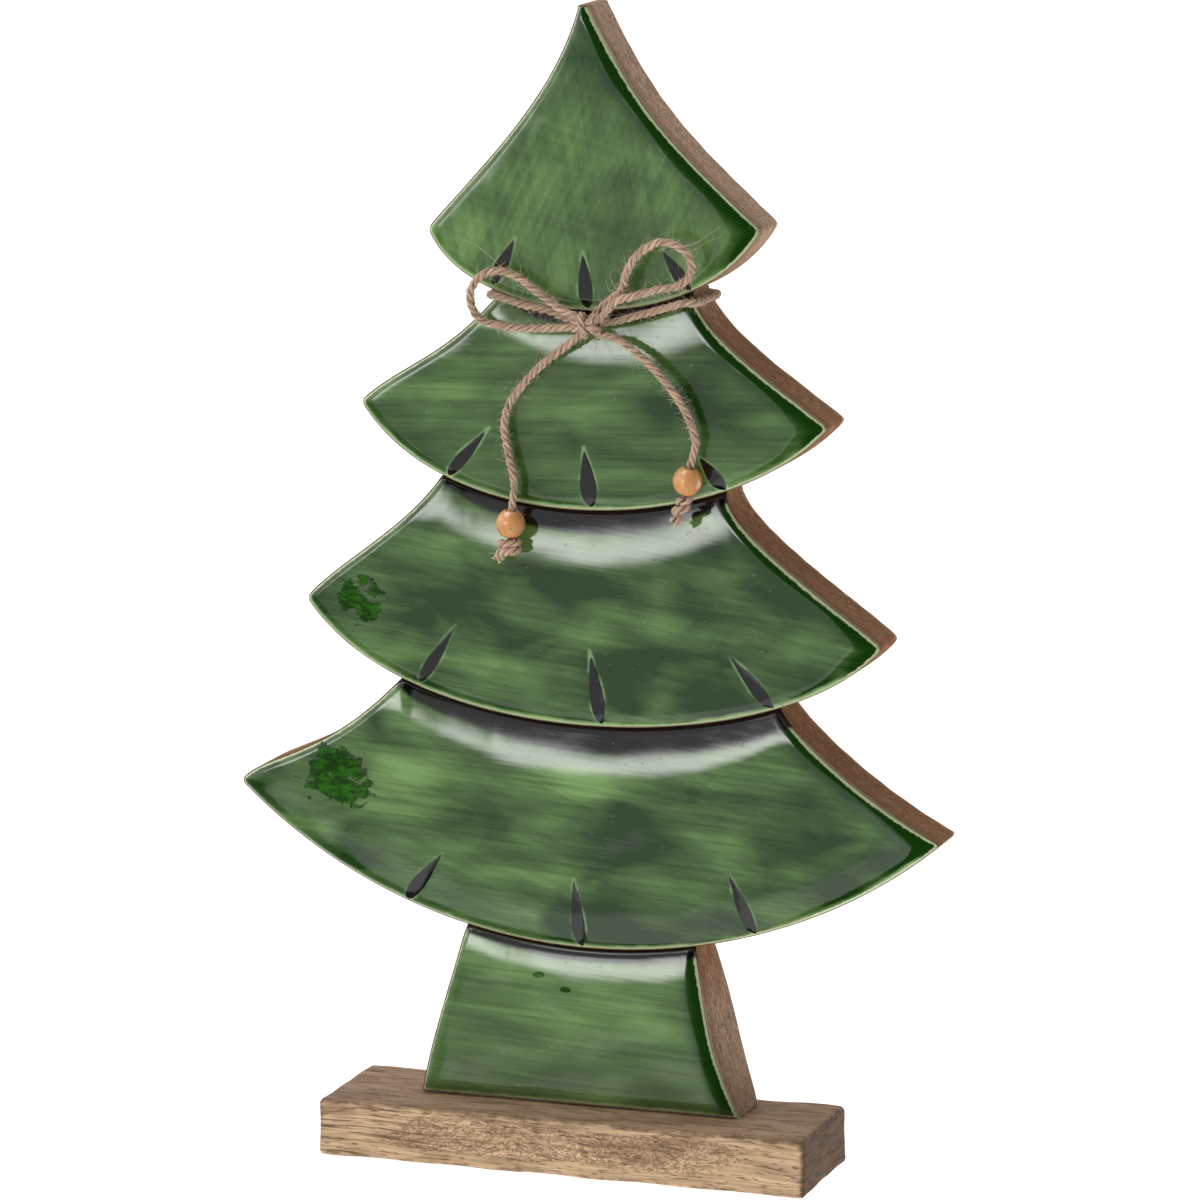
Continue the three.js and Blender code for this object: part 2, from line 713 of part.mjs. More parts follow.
function beadGeometry(side) {
  const { up, centre } = hangOf(side);
  const boreRadius = bead.bore / 2;
  const outer = bead.diameter / 2;
  const boreEasing = { width: 0.5, depth: 0.3 };
  const rimAngle = Math.acos((boreRadius + boreEasing.width) / outer);
  const bands = 8;
  const profile = [];
  for (let i = 0; i <= bands; i++) {
    const turned = mix(-rimAngle, rimAngle, i / bands);
    const height = (Math.sin(turned) / Math.sin(rimAngle)) * (bead.height / 2);
    profile.push(flat([outer * Math.cos(turned), height]));
  }
  const boreEnd = bead.height / 2 - boreEasing.depth;
  profile.push(flat([boreRadius, boreEnd]), flat([boreRadius, -boreEnd]));
  profile.push(profile[0].clone());
  const turnedBead = turnedUp(profile, 20);
  const upright = new THREE.Quaternion().setFromUnitVectors(point([0, 0, 1]), up);
  return turnedBead.applyQuaternion(upright).translate(...centre);
}

function endKnotGeometry(side) {
  const { up, knot } = hangOf(side);
  const upright = new THREE.Quaternion().setFromUnitVectors(point([0, 0, 1]), up);
  const lump = egg(endKnot.width, endKnot.width, endKnot.height).applyQuaternion(upright);
  const way = point(beadHang[side].stub).normalize();
  const { stubLength, stubDiameter, stubTaper, stubRoot } = endKnot;
  const stub = new THREE.CylinderGeometry(
    stubDiameter / 2,
    (stubTaper * stubDiameter) / 2,
    stubLength,
    twine.sides,
  );
  const turn = new THREE.Quaternion().setFromUnitVectors(point([0, 1, 0]), way);
  stub.applyQuaternion(turn).translate(...way.multiplyScalar(endKnot.height / 2 + stubLength / 2 - stubRoot));
  return geometryOf(solidOf(lump).add(solidOf(stub))).translate(...knot);
}

// The assembly

const tree = new THREE.Group();
const base = new THREE.Group();
const carving = new THREE.Group();
const bow = new THREE.Group();
tree.add(base, carving, bow);

base.add(piece("plinth", plinthSolid(), plinthWood));
for (const side of sides) base.add(piece(`plinth_screw_${side}`, screwSolid(side), steel));

const grids = patches.map((patch) =>
  gridOf(patch, patch.shape === trunk ? cells.acrossTrunk : cells.acrossTier, cells.down),
);
let wood = patches.map((patch, i) => woodSolid(patch, grids[i])).reduce((all, next) => all.add(next));
for (const side of sides) wood = wood.subtract(solidOf(placedAt(screwSpace, screwX[side], screw.y, 0)));
carving.add(piece("tree_board", geometryOf(wood), boardWood));

patches.forEach((patch, i) => {
  let coat = enamelSolid(grids[i]);
  for (const notch of patch.shape.notches) coat = coat.subtract(notchCutter(patch, notch));
  const name = patch.shape === trunk ? "enamel_trunk" : `enamel_tier_${patch.shape.name}`;
  carving.add(piece(name, geometryOf(coat), greenEnamel));
});

bow.add(piece("twine_wrap", strand(wrapStations()), jute));
const knotShape = egg(bowKnot.width, bowKnot.depth, bowKnot.height).translate(...knotCentre);
bow.add(piece("bow_knot", knotShape, jute));
for (const side of sides) {
  bow.add(piece(`bow_loop_${side}`, strand(loopStations(side)), jute));
  bow.add(piece(`tail_${side}`, strand(tailStations(side)), jute));
  bow.add(piece(`bead_${side}`, beadGeometry(side), beadWood));
  bow.add(piece(`end_knot_${side}`, endKnotGeometry(side), jute));
}

export default tree;
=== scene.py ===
# The looks of a carved wooden christmas tree: glossy green enamel over brushed paint on the carved front, bare
# wood behind it and below it, a jute bow round its neck and a turned bead on each hanging end.

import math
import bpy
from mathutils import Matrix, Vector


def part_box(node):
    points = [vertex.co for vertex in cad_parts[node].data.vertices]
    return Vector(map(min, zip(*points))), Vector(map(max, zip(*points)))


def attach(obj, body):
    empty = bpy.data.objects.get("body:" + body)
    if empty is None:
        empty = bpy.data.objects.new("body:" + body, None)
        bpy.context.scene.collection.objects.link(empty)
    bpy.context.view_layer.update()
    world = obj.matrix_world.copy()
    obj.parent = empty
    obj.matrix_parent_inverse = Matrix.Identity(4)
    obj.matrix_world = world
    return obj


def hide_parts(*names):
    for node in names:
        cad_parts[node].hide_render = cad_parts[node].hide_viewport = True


bl_info = {
    "name": "Carved Christmas Tree",
    "version": (1, 0, 0),
    "blender": (4, 5, 0),
    "location": "3D View > Sidebar > Tree",
    "description": "Dresses the packed frame of a carved and enamelled wooden christmas tree",
    "category": "Object",
}

import bmesh
import bpy
import numpy as np
from mathutils import Vector
from mathutils.kdtree import KDTree

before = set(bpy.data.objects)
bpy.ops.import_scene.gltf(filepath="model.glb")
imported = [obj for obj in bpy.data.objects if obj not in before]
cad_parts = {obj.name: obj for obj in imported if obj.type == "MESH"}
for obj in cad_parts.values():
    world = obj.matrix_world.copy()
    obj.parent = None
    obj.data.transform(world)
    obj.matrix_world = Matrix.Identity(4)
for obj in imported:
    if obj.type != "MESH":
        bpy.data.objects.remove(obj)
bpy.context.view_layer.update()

MM = 0.001
SIDES = ("left", "right")


def box_of(node):
    """The lowest and the highest corner of a node of the frame, in millimetres."""
    low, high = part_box(node)
    return np.array(low) / MM, np.array(high) / MM


def middle_of(node):
    return sum(box_of(node)) / 2


PLINTH_LOW, PLINTH_HIGH = box_of("plinth")
KNOT = middle_of("bow_knot")
BACK = box_of("tree_board")[1][1]
RIM = -4.0  # y of the rim of the carved front

# The front outline, tier by tier, as (x, z) over the plinth, in millimetres. A flank runs from the neck, or the
# apex, through two bends to its tip, or to the trunk's foot, and a lip runs from tip to tip.
#   notches: (foot's x on the lip, how far above it, lean in degrees, length, width)
#   groove: how far down the dark hollow under the lip above reaches, at shares of the way from neck to neck
#   ease: over how much more height the hollow's slope dies out, likewise
#   round: how wide the right flank's rounding is, and how much wider it is at the tip
#   corner: how far the right tip's rounding, and the shade painted near it, reach along the lip
#   droop: how far the lip leans back
#   light, contrast: how much of the paler green there is in the paint, and how much it varies
#   glows: paler and, below 0, darker places in the paint, as (x, z, half width, half height, amount)
#   wet: dark runs in the gloss, as (x, z, half width, half height)
TIERS = [
    {
        "name": "top",
        "corner": 22,
        "wet": [],
        "contrast": 0.55,
        "apex": (1.9, 379.5),
        "left": {"bends": [(-7.6, 348.6), (-34.7, 324.1)], "tip": (-53.6, 302.4)},
        "right": {"bends": [(21.9, 343.2), (33, 334.3)], "tip": (64.4, 306.4)},
        "lip": [(-40.7, 269.7), (41.9, 265.4)],
        "notches": [(-29.9, 2.1, 27.4, 18.5, 4.7), (4, 0.6, -4.6, 19.9, 5.1), (40.2, 0.6, -36.4, 17, 4.7)],
        "round": (5, 10),
        "light": 0.31,
        "glows": [
            (-12, 313, 11, 16, 0.30), (2, 341, 7, 13, 0.18), (30, 322, 7, 12, 0.20), (-22, 296, 14, 8, 0.10),
            (10, 362, 13, 14, -0.25), (12, 308, 6, 16, -0.12), (44, 302, 9, 12, 0.12), (-38, 302, 13, 13, 0.2),
        ],
    },
    {
        "name": "upper",
        "corner": 15,
        "wet": [],
        "contrast": 0.75,
        "left": {"neck": -28, "bends": [(-47.1, 258.3), (-62.7, 256)], "tip": (-78.4, 242)},
        "right": {"neck": 39.6, "bends": [(44.3, 269), (72.4, 253)], "tip": (88.4, 240.9)},
        "lip": [(-47.3, 193.5), (54.4, 201.3)],
        "notches": [(-46.5, 1, 41.3, 23.2, 4.2), (5.4, 1.2, -7.2, 20.8, 5.8), (52.8, 0.6, -39.8, 14.7, 5)],
        "round": (4, 7),
        "light": 0.23,
        "glows": [
            (-55, 247, 14, 6, 0.30), (55, 224, 12, 6, 0.28), (-5, 241, 25, 6, 0.12), (0, 222, 25, 4, 0.16),
            (40, 243, 18, 6, -0.22), (-50, 231, 12, 5, -0.15), (-22, 250, 10, 6, 0.15),
        ],
        "ease": [(0, 15), (0.3, 19), (0.55, 22), (0.7, 26), (1, 26)],
        "groove": [(0, 1.5), (0.2, 4.5), (0.45, 5), (0.6, 4.6), (0.8, 4), (1, 2)],
    },
    {
        "name": "lower",
        "corner": 19,
        "wet": [(-78, 173, 8, 8)],
        "contrast": 1,
        "left": {"neck": -49.3, "bends": [(-60.3, 199.4), (-86.3, 186.5)], "tip": (-98.9, 172.4)},
        "right": {"neck": 51.8, "bends": [(51.8, 203.1), (100.5, 174.8)], "tip": (107.6, 167)},
        "lip": [(-62.2, 118.8), (73.4, 125)],
        "notches": [(-56.9, 2, 32.7, 24.5, 4.2), (9, 1, -8.9, 25.9, 5), (70, 0.6, -41.4, 23.5, 4.6)],
        "groove": [(0, 2.5), (0.09, 4.2), (0.29, 6.6), (0.49, 8), (0.69, 7.6), (0.88, 5.9), (1, 4)],
        "ease": [(0, 22), (0.5, 21), (1, 21)],
        "round": (3.2, 5),
        "light": 0.14,
        "glows": [
            (-58, 190, 16, 7, 0.40), (30, 176, 6, 11, 0.38), (4, 163, 11, 5, 0.34), (-32, 150, 16, 7, 0.42),
            (78, 168, 14, 6, 0.30), (10, 180, 12, 8, -0.12), (-55, 172, 16, 7, -0.1), (48, 150, 14, 8, -0.1),
            (-20, 172, 15, 8, 0.12), (-78, 178, 10, 10, 0.15),
        ],
    },
    {
        "name": "bottom",
        "corner": 9,
        "wet": [(-88, 110, 15, 11)],
        "contrast": 1,
        "left": {"neck": -64.3, "bends": [(-92.3, 115.5), (-114.1, 117.1)], "tip": (-124.3, 105.9)},
        "right": {"neck": 71, "bends": [(80.3, 132), (103.1, 113.6)], "tip": (128.6, 101)},
        "lip": [(-48.9, 35.6), (62.6, 43.7)],
        "notches": [(-62.7, 0.6, 38.6, 22.9, 4.8), (1.5, 0.6, -5.8, 24.7, 4.8), (63.8, 0.6, -23.6, 23, 4.4)],
        "groove": [(0, 3), (0.03, 4.6), (0.18, 6.4), (0.33, 8.2), (0.475, 9.4), (0.62, 9.4), (0.92, 8.6), (1, 7.5)],
        "ease": [(0, 15), (0.25, 18), (0.5, 16), (0.8, 14), (1, 9)],
        "round": (2.8, 3),
        "light": 0.15,
        "glows": [
            (-62, 112, 16, 10, 0.70), (0, 114, 13, 5, 0.65), (-22, 113, 10, 5, 0.30), (-55, 90, 18, 6, 0.22),
            (50, 94, 13, 7, 0.30), (25, 84, 10, 8, 0.12), (-25, 76, 12, 6, 0.22), (20, 100, 9, 14, -0.1),
            (8, 78, 9, 8, -0.1), (78, 92, 16, 9, 0.04), (-100, 96, 12, 8, 0.2),
        ],
        "droop": 0.9,
    },
    {
        "name": "trunk",
        "corner": 1,
        "wet": [(-14, 45.5, 2.6, 1.3), (-4, 41, 2, 1)],
        "contrast": 0.7,
        "left": {"neck": -40.9, "bends": [(-46.2, 40.6), (-53.6, 20.9)], "foot": -57.3},
        "right": {"neck": 41.6, "bends": [(47.4, 33.8), (45.2, 25.9)], "foot": 58.2},
        "notches": [],
        "groove": [(0, 2), (0.2, 3.4), (0.5, 4), (0.8, 4.2), (1, 3.5)],
        "ease": [(0, 12), (0.5, 16), (1, 15)],
        "round": (4.5, 0),
        "light": 0.34,
        "glows": [(-6, 30, 16, 6, 0.25), (26, 32, 12, 8, 0.30), (-20, 12, 16, 5, 0.1), (20, 14, 18, 5, -0.1)],
    },
]
GLUE = 0.2  # between the trunk and the plinth
APEX_WIDTH = 3
TIP_CUT = 2.5  # how far a pointed tip is rounded back
FAR = 99.0  # a distance to something that isn't there

SWELL, ROUNDING = 2.2, 5.0  # how proud of its rim a tier stands, and how far in from there
# the hollow under a lip: its slope, how far above the groove's end the slope starts to ease as a share of ease,
# how shallow it is at a flank and how near that starts, and how deep and how high it cuts in under the lip
COVE = {"slope": 0.3, "lead": 0.15, "fade": 4.0, "at_flank": 0.85, "undercut": 1.6, "undercut_reach": 2.0}
# the enamel: how thick it is, how far its rim lies inside the board's, its room to the wood and to the lip above,
# and how wide and how deep its rim is rolled back
ENAMEL = {"thickness": 1.2, "inset": 0.3, "seat": 0.1, "gap": 0.3, "roll": 0.7, "roll_depth": 0.6}
NOTCH_DEPTH = 0.15
BACK_EASING = 2.0
TONGUE, TONGUE_WIDTH = 10.0, 0.85  # how far each tier's wood runs up behind the one above, and its share of the neck
ROOM = 0.3  # round a screw


# Settings


def colour_property(name, description, default):
    return bpy.props.FloatVectorProperty(
        name=name, description=description, subtype="COLOR", default=default, min=0, max=1
    )


def length_property(name, description, default):
    """The default is in millimetres."""
    return bpy.props.FloatProperty(
        name=name, description=description, default=default * MM, min=0.5 * MM, unit="LENGTH"
    )


def number_property(name, description, default):
    return bpy.props.FloatProperty(name=name, description=description, default=default, min=0)


class EnamelSettings(bpy.types.PropertyGroup):
    """The glossy paint on the carved front."""

    deep: colour_property("Deep green", "Colour of the ground coat", (0.007, 0.042, 0.002))
    leaf: colour_property("Leaf green", "Colour of the brushed strokes", (0.19, 0.345, 0.10))
    # the pale green is partly thin paint and partly a painted highlight along the lips and the notches' banks
    pale: colour_property("Pale green", "Colour of the paint where it thins over an edge", (0.34, 0.54, 0.24))
    bare: colour_property("Bare edge", "Colour of the rim, where the paint has run off", (0.55, 0.58, 0.34))
    groove: colour_property("Groove", "Colour inside the notches and under each lip", (0.003, 0.003, 0.004))
    gloss: number_property("Roughness", "Roughness of the clear top coat", 0.05)
    spacing: length_property("Spacing", "Distance between the mesh's lines", 1.0)


class WoodSettings(bpy.types.PropertyGroup):
    """The bare wood of the board, the plinth and the beads."""

    board: colour_property("Board", "Colour of the board's sawn sides", (0.53, 0.36, 0.255))
    plinth: colour_property("Plinth", "Colour of the plinth's front", (0.78, 0.54, 0.33))
    bead: colour_property("Bead", "Colour of the turned beads", (0.70, 0.33, 0.12))
    easing: length_property("Easing", "Radius of the plinth's worn edges", 2.2)


class TwineSettings(bpy.types.PropertyGroup):
    """The jute twine of the bow."""

    lit: colour_property("Light fibres", "Colour of the paler fibres", (0.76, 0.53, 0.37))
    dark: colour_property("Dark fibres", "Colour of the darker fibres", (0.22, 0.125, 0.078))
    diameter: length_property("Diameter", "Width over the plies", 2.8)
    plies: bpy.props.IntProperty(name="Plies", description="Yarns twisted together", default=3, min=2)
    pitch: length_property("Pitch", "Length of one turn of a ply", 8.5)


class StageSettings(bpy.types.PropertyGroup):
    """The floor, the light and the camera."""

    window: number_property("Window", "Strength of the large soft light at the front left", 5.1)
    top: number_property("Top light", "Strength of the light overhead", 0.6)
    high: number_property("High light", "Strength of the light high at the left", 3.0)
    fill: number_property("Fill", "Strength of the dim light at the left", 0.5)
    back: number_property("Back light", "Strength of the low light behind", 1.5)
    pale_floor: number_property("Floor in the gloss", "Brightness of the floor as the enamel mirrors it", 0.42)
    lens: number_property("Lens", "Focal length in millimetres", 191.6)


SETTINGS = {
    "tree_enamel": EnamelSettings,
    "tree_wood": WoodSettings,
    "tree_twine": TwineSettings,
    "tree_stage": StageSettings,
}


# Shaders


def math_node(operation, swapped=False):
    """A method that works out a value and another one in a node."""

    def apply(self, other=0.0):
        first, second = (other, self) if swapped else (self, other)
        return self.shader.node("ShaderNodeMath", {"operation": operation}, {0: first, 1: second})

    return apply


class Value:
    """A shader socket that takes part in a Python expression."""

    def __init__(self, shader, socket):
        self.shader = shader
        self.socket = socket

    __add__ = __radd__ = math_node("ADD")
    __sub__, __rsub__ = math_node("SUBTRACT"), math_node("SUBTRACT", swapped=True)
    __mul__ = __rmul__ = math_node("MULTIPLY")
    __truediv__ = math_node("DIVIDE")
    __abs__ = math_node("ABSOLUTE")

    def clamped(self):
        return self.shader.node("ShaderNodeClamp", {}, {"Value": self})

    def rises(self, start, end):
        """0 below start and 1 above end, with a smooth step between them; end may lie below start."""
        return self.shader.node(
            "ShaderNodeMapRange",
            {"interpolation_type": "SMOOTHSTEP"},
            {"Value": self, "From Min": start, "From Max": end, "To Min": 0.0, "To Max": 1.0},
        )


class Shader:
    """A node tree for a material or for the world, with a Principled or a Background node at its end."""

    def __init__(self, owner, end="ShaderNodeBsdfPrincipled", output="ShaderNodeOutputMaterial", **constants):
        owner.use_nodes = True
        self.tree = owner.node_tree
        self.tree.nodes.clear()
        self.end = self.tree.nodes.new(end)
        closing = self.tree.nodes.new(output)
        self.tree.links.new(self.end.outputs[0], closing.inputs["Surface"])
        for name, value in constants.items():
            self.feed(self.end, name.replace("_", " "), value)

    def feed(self, node, name, value):
        if isinstance(name, int):
            socket = node.inputs[name]
        else:
            socket = next((s for s in node.inputs if s.identifier == name), None) or node.inputs[name]
        if isinstance(value, Value):
            self.tree.links.new(value.socket, socket)
        elif hasattr(socket.default_value, "__len__") and len(socket.default_value) == 4 and len(value) == 3:
            socket.default_value = (*value, 1)
        else:
            socket.default_value = value

    def node(self, kind, settings=None, inputs=None, output=0):
        made = self.tree.nodes.new(kind)
        for name, value in (settings or {}).items():
            setattr(made, name, value)
        for name, value in (inputs or {}).items():
            self.feed(made, name, value)
        if isinstance(output, int):
            return Value(self, made.outputs[output])
        found = next((s for s in made.outputs if s.identifier == output), None)
        return Value(self, found or made.outputs[output])

    def set(self, name, value):
        self.feed(self.end, name, value)

    def place(self):
        return self.node("ShaderNodeTexCoord", output="Object")

    def axes(self, vector):
        return [self.node("ShaderNodeSeparateXYZ", {}, {0: vector}, output=i) for i in range(3)]

    def vector(self, x=0.0, y=0.0, z=0.0):
        return self.node("ShaderNodeCombineXYZ", {}, {"X": x, "Y": y, "Z": z})

    def attribute(self, name):
        return self.node("ShaderNodeAttribute", {"attribute_name": name}, output="Fac")

    def noise(self, size, turn=0.0, detail=2.0, roughness=0.5, distortion=0.0, shift=0.0, vector=None):
        """Noise whose spots are size millimetres long along x, y and z, turned about y by so many degrees."""
        moved = self.node(
            "ShaderNodeMapping",
            {"vector_type": "TEXTURE"},
            {
                "Vector": vector or self.place(),
                "Location": (shift, shift, shift),
                "Rotation": (0.0, math.radians(turn), 0.0),
                "Scale": tuple(s * MM for s in size),
            },
        )
        return self.node(
            "ShaderNodeTexNoise",
            {},
            {"Vector": moved, "Scale": 1.0, "Detail": detail, "Roughness": roughness, "Distortion": distortion},
            output="Fac",
        )

    def mix(self, factor, first, second):
        return self.node(
            "ShaderNodeMix",
            {"data_type": "RGBA", "clamp_factor": True},
            {"Factor_Float": factor, "A_Color": first, "B_Color": second},
            output="Result_Color",
        )

    def layered(self, colour, *coats):
        """A colour under coats of (factor, colour)."""
        for factor, coat in coats:
            colour = self.mix(factor, colour, coat)
        return colour

    def bump(self, height, distance):
        """Lets a height from 0 to 1 stand for so many millimetres of relief."""
        self.set("Normal", self.node("ShaderNodeBump", {}, {"Height": height, "Distance": distance * MM}))


def shaded(colour, factor):
    """A colour made darker or paler, by one factor or by one for each channel."""
    factors = factor if isinstance(factor, tuple) else (factor,) * 3
    return tuple(min(1.0, c * f) for c, f in zip(colour, factors))


def material(name, **constants):
    made = bpy.data.materials.new(name)
    return made, Shader(made, **constants)


def enamel_material(name, settings, strokes, wet, contrast):
    """Brushed green paint under a clear glossy coat. strokes are (degrees, length, width, share)."""
    made, shader = material(
        name, Roughness=0.07, IOR=1.5, Coat_Weight=1.0, Coat_Roughness=settings.gloss, Coat_IOR=1.5
    )
    groove, shade, shaded_right_edge = shader.attribute("groove"), shader.attribute("shade"), shader.attribute("dark")
    lip, rim, glow = shader.attribute("lip"), shader.attribute("rim"), shader.attribute("glow")

    cloud = shader.noise((30, 30, 15), distortion=0.5, shift=0.3)
    # paler paint just under the dark band, where the gloss mirrors the window's haze: partly the paint's own tone,
    # partly a painted reflection
    haze_paint_and_highlight = shade.rises(-1, 3) * shade.rises(17, 6)
    level = glow + haze_paint_and_highlight * 0.22 + (cloud - 0.5) * contrast * 1.2
    streak = 0.0
    for turn, length, width, share in strokes:
        fine = shader.noise((length, 40, width), turn, detail=5.0, roughness=0.62, distortion=0.15)
        broad = shader.noise((length * 0.8, 40, width * 5), turn, detail=1.0, shift=0.07)
        streak = streak + ((fine - 0.5) + (broad - 0.5) * 0.7) * share
    level = level + streak * (level * 2.0 + 0.28) * contrast
    # no strokes near the right flank and the right tip: their deep green is partly the bare ground coat and partly
    # painted shade, on the side that mirrors the dark right
    brushed = level.clamped() * shaded_right_edge.rises(2.5, 9) * shade.rises(-2.0, 1.5)

    # thin paint over every edge, on the notches' banks most of all; along the lips and the banks this pale green is
    # partly a painted highlight
    wave = shader.noise((7, 7, 7))
    span = shader.noise((22, 22, 22), detail=1.0, shift=0.6).rises(0.3, 0.65)
    lip_paint_and_highlight = (lip + (wave - 0.5) * 1.5).rises(2.4, 0.9) * shaded_right_edge.rises(4, 11) * (0.3 + span * 0.6)
    notch_bank_paint_and_highlight = groove.rises(1.2, 0.1) * wave.rises(0.4, 0.68) * 0.55
    bare = shader.noise((1.6, 1.6, 1.6), roughness=0.6)
    coats = [
        (brushed, settings.leaf),
        ((lip_paint_and_highlight + notch_bank_paint_and_highlight).clamped(), settings.pale),
        ((rim + (bare - 0.5) * 0.9).rises(1.2, 0.8), settings.bare),
        ((shade + (wave - 0.5) * 2.0).rises(1.1, -0.7), settings.groove),
        (groove.rises(0.12, -0.12), settings.groove),
    ]

    # runs in the gloss, which lean down to the left and so mirror nothing pale
    x, _, z = (axis / MM for axis in shader.axes(shader.place()))
    blob = shader.noise((9, 9, 6), detail=5.0, roughness=0.62, shift=0.2)
    mottle = shader.noise((4, 20, 2), strokes[0][0], detail=5.0, roughness=0.65, distortion=0.4, shift=0.4)
    dim, bright = shaded(settings.deep, 0.75), shaded(settings.deep, (2.4, 3.0, 0.5))
    puddle = shader.mix(mottle.rises(0.42, 0.62), dim, bright)
    lean, dull = 0.0, 0.0
    for middle_x, middle_z, wide, tall in wet:
        off_x, off_z = x - middle_x, z - (middle_z + PLINTH_HIGH[2])
        apart = (off_x / wide) * (off_x / wide) + (off_z / tall) * (off_z / tall)
        inside = (apart + (blob - 0.5) * 5.5).rises(0.8, 0.55)
        lean = lean + inside * (off_x * 0.26 + off_z * 0.14 + blob * 0.8)
        dull = dull + inside
        coats.append((inside * 0.85, puddle))
    shader.set("Base Color", shader.layered(settings.deep, *coats))
    shader.set("Coat Weight", 1 - dull)

    waves = shader.noise((14, 14, 14), roughness=0.4)
    brush = shader.noise((40, 40, 1.6), strokes[0][0])
    specks = shader.noise((1.6, 1.6, 1.6), detail=0.0, shift=0.5).rises(0.79, 0.86)
    shader.bump(waves * 0.55 + brush * 0.06 + specks * 0.12 + lean, 0.5)
    return made


def board_material(settings):
    """Sawn and stained wood, redder along its front."""
    made, shader = material("board_wood", Roughness=0.7, Specular_IOR_Level=0.0)
    _, y, z = (axis / MM for axis in shader.axes(shader.place()))
    grain = shader.noise((1.7, 1.2, 8), detail=5.0, roughness=0.7, distortion=0.4)
    fine = shader.noise((0.7, 0.45, 1.3), detail=3.0, roughness=0.7)
    pores = shader.noise((0.55, 0.5, 1.6), detail=1.0).rises(0.56, 0.68)
    saw = shader.noise((9, 0.7, 9), turn=35)
    blotch = shader.noise((16, 9, 20), detail=3.0, roughness=0.6)
    figure = shader.noise((7, 40, 150), detail=5.0, roughness=0.62, distortion=0.35)
    creep = shader.noise((2.2, 2.2, 2.2))
    light, tan, brown, dark, darkest = (shaded(settings.board, factor) for factor in (1.3, 0.75, 0.6, 0.5, 0.28))
    stained = shader.layered(dark, (grain.rises(0.3, 0.7), light), (blotch.rises(0.4, 0.65) * 0.55, tan))
    # the lower tiers' sides are browner than the top's and the trunk's
    low = z.rises(330, 280) * z.rises(50, 80) * y.rises(BACK, BACK - 5)
    tint = shader.mix(low, (1, 1, 1), (0.7, 0.56, 0.43))
    stained = shader.node("ShaderNodeVectorMath", {"operation": "MULTIPLY"}, {0: stained, 1: tint})
    flat_sawn = y.rises(BACK - 1.5, BACK - 0.3)
    shader.set("Base Color", shader.layered(
        stained,
        (flat_sawn * figure.rises(0.42, 0.62) * 0.6, brown),
        ((y + (blotch - 0.5) * 10).rises(3.5, -2.0) * 0.55, (0.21, 0.105, 0.065)),
        (fine.rises(0.52, 0.68) * (1 - low * 0.75) * 0.3, light),
        (pores * 0.6, darkest),
        # paint has crept a hair's breadth over the front arris, and left it pale
        ((y + (creep - 0.5) * 0.5).rises(RIM + 0.75, RIM + 0.3) * 0.8, (0.52, 0.50, 0.33)),
    ))
    shader.set("Roughness", 0.55 + grain * 0.2)
    shader.bump(grain * 0.6 + saw * 0.6 - pores * 0.7, 0.3)
    return made


